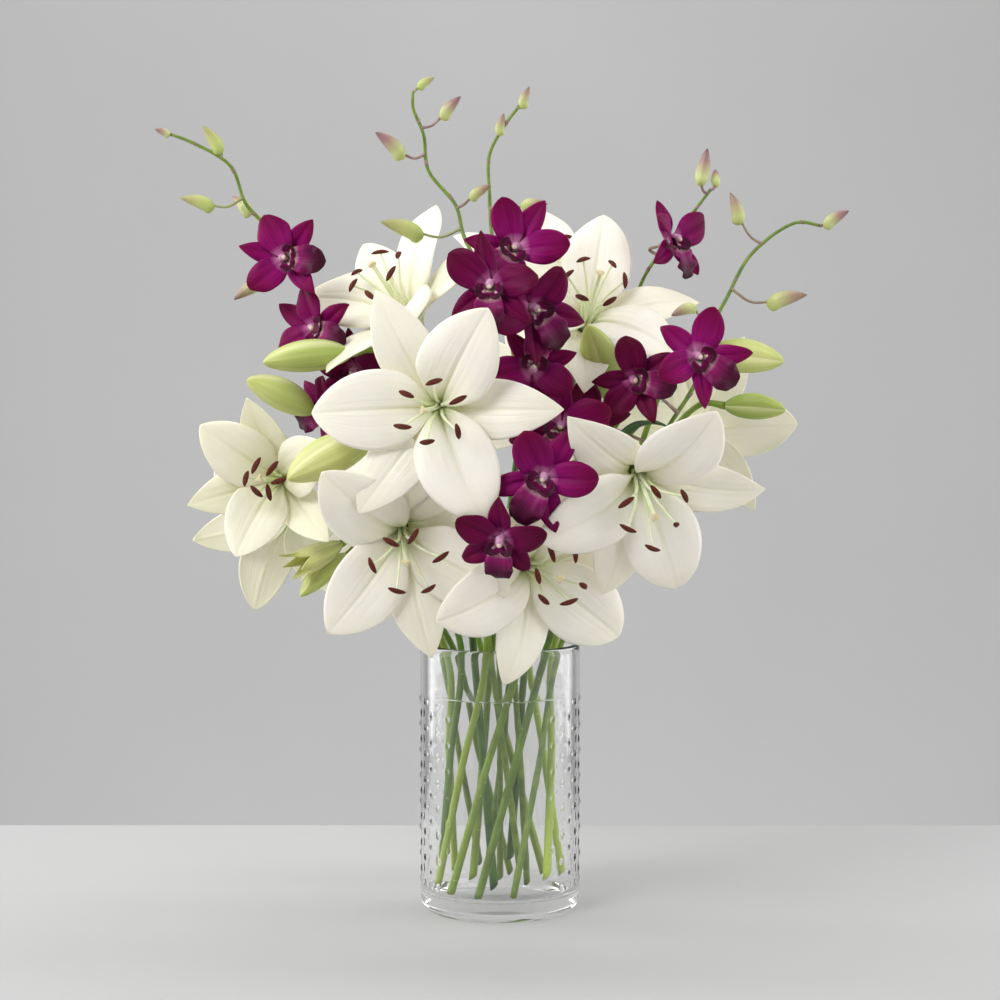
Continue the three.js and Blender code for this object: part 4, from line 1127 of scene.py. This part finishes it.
class BunchSizes(bpy.types.PropertyGroup):
    """Sizes of the bunch and its vase."""
    vase_radius: length_of("Vase radius", "Radius of the vase's outside", 55)
    vase_height: length_of("Vase height", "Height of the vase", 187)
    wall: length_of("Vase wall", "Thickness of the glass", 4)
    vase_floor: length_of("Vase floor", "Height of the vase's inner floor", 13)
    dot_height: length_of("Dot height", "How far the dots on the glass stand out", 0.7)
    water_level: length_of("Water level", "Height of the water's surface", 151)
    lily_stem: length_of("Lily stem", "Radius of a lily stem at its cut end", 2.8)
    spray_stem: length_of("Spray stem", "Radius of an orchid spray at its cut end", 2.3)
    petal_thickness: length_of("Petal thickness", "Thickness of a lily's tepals", 0.55)
    orchid_petal: length_of("Orchid petal", "Length of an orchid's petals", 31)


class BunchColours(bpy.types.PropertyGroup):
    """Colours of the bunch and its stage."""
    petal: colour_of("Lily petal", "Colour of a lily's tepals beyond the throat", "FFF8EB")
    orchid: colour_of("Orchid petal", "Colour of an orchid's petals towards the edge", "8A0A60")
    floor: colour_of("Floor", "Colour of the floor", "B4B4B4")
    wall: colour_of("Wall", "Colour of the wall", "A5A5A5")


def size(name):
    """One of the bunch's sizes, in millimetres."""
    return getattr(bpy.context.scene.bunch_sizes, name) / MM


class BOUQUET_OT_vase(bpy.types.Operator):
    """Add the dotted glass vase"""
    bl_idname = "bouquet.vase"
    bl_label = "Glass Vase"

    def execute(self, context):
        make_vase()
        return {"FINISHED"}


class BOUQUET_OT_water(bpy.types.Operator):
    """Add the water in the vase"""
    bl_idname = "bouquet.water"
    bl_label = "Water"

    def execute(self, context):
        make_water()
        return {"FINISHED"}


class BOUQUET_OT_lily_stems(bpy.types.Operator):
    """Add the lilies' stems and the stalks of their buds"""
    bl_idname = "bouquet.lily_stems"
    bl_label = "Lily Stems"

    def execute(self, context):
        make_lily_stems()
        return {"FINISHED"}


class BOUQUET_OT_sprays(bpy.types.Operator):
    """Add the orchid sprays with their small buds"""
    bl_idname = "bouquet.sprays"
    bl_label = "Orchid Sprays"

    def execute(self, context):
        make_sprays()
        return {"FINISHED"}


class BOUQUET_OT_lilies(bpy.types.Operator):
    """Add the open lilies"""
    bl_idname = "bouquet.lilies"
    bl_label = "Lilies"

    def execute(self, context):
        make_lilies()
        return {"FINISHED"}


class BOUQUET_OT_lily_buds(bpy.types.Operator):
    """Add the closed lily buds"""
    bl_idname = "bouquet.lily_buds"
    bl_label = "Lily Buds"

    def execute(self, context):
        make_lily_buds()
        return {"FINISHED"}


class BOUQUET_OT_orchids(bpy.types.Operator):
    """Add the orchid blooms"""
    bl_idname = "bouquet.orchids"
    bl_label = "Orchids"

    def execute(self, context):
        make_orchids()
        return {"FINISHED"}


class BOUQUET_OT_leaves(bpy.types.Operator):
    """Add the leaves left on the stems"""
    bl_idname = "bouquet.leaves"
    bl_label = "Leaves"

    def execute(self, context):
        make_leaves()
        return {"FINISHED"}


class BOUQUET_OT_stage(bpy.types.Operator):
    """Add the floor, the wall, the lamps and the camera"""
    bl_idname = "bouquet.stage"
    bl_label = "Stage"

    def execute(self, context):
        make_stage()
        return {"FINISHED"}


OPERATORS = (BOUQUET_OT_vase, BOUQUET_OT_water, BOUQUET_OT_lily_stems, BOUQUET_OT_sprays, BOUQUET_OT_lilies,
             BOUQUET_OT_lily_buds, BOUQUET_OT_orchids, BOUQUET_OT_leaves, BOUQUET_OT_stage)


class VIEW3D_PT_bouquet(bpy.types.Panel):
    """Lists the bunch's sizes, its colours and the pieces that can be added"""
    bl_idname = "VIEW3D_PT_bouquet"
    bl_label = "Lilies in a Vase"
    bl_space_type = "VIEW_3D"
    bl_region_type = "UI"
    bl_category = "Bouquet"

    def draw(self, context):
        for settings in (context.scene.bunch_sizes, context.scene.bunch_colours):
            column = self.layout.column(align=True)
            for name in settings.bl_rna.properties.keys():
                if name not in ("rna_type", "name"):
                    column.prop(settings, name)
        for operator in OPERATORS:
            self.layout.operator(operator.bl_idname)


CLASSES = (BunchSizes, BunchColours) + OPERATORS + (VIEW3D_PT_bouquet,)


def register():
    for each in CLASSES:
        bpy.utils.register_class(each)
    bpy.types.Scene.bunch_sizes = bpy.props.PointerProperty(type=BunchSizes)
    bpy.types.Scene.bunch_colours = bpy.props.PointerProperty(type=BunchColours)


def unregister():
    del bpy.types.Scene.bunch_colours
    del bpy.types.Scene.bunch_sizes
    for each in reversed(CLASSES):
        bpy.utils.unregister_class(each)


def main():
    """Builds the whole bunch on its stage."""
    register()
    bpy.ops.bouquet.vase()
    bpy.ops.bouquet.water()
    bpy.ops.bouquet.lily_stems()
    bpy.ops.bouquet.sprays()
    bpy.ops.bouquet.lilies()
    bpy.ops.bouquet.lily_buds()
    bpy.ops.bouquet.orchids()
    bpy.ops.bouquet.leaves()
    bpy.ops.bouquet.stage()


if __name__ == "__main__":
    main()
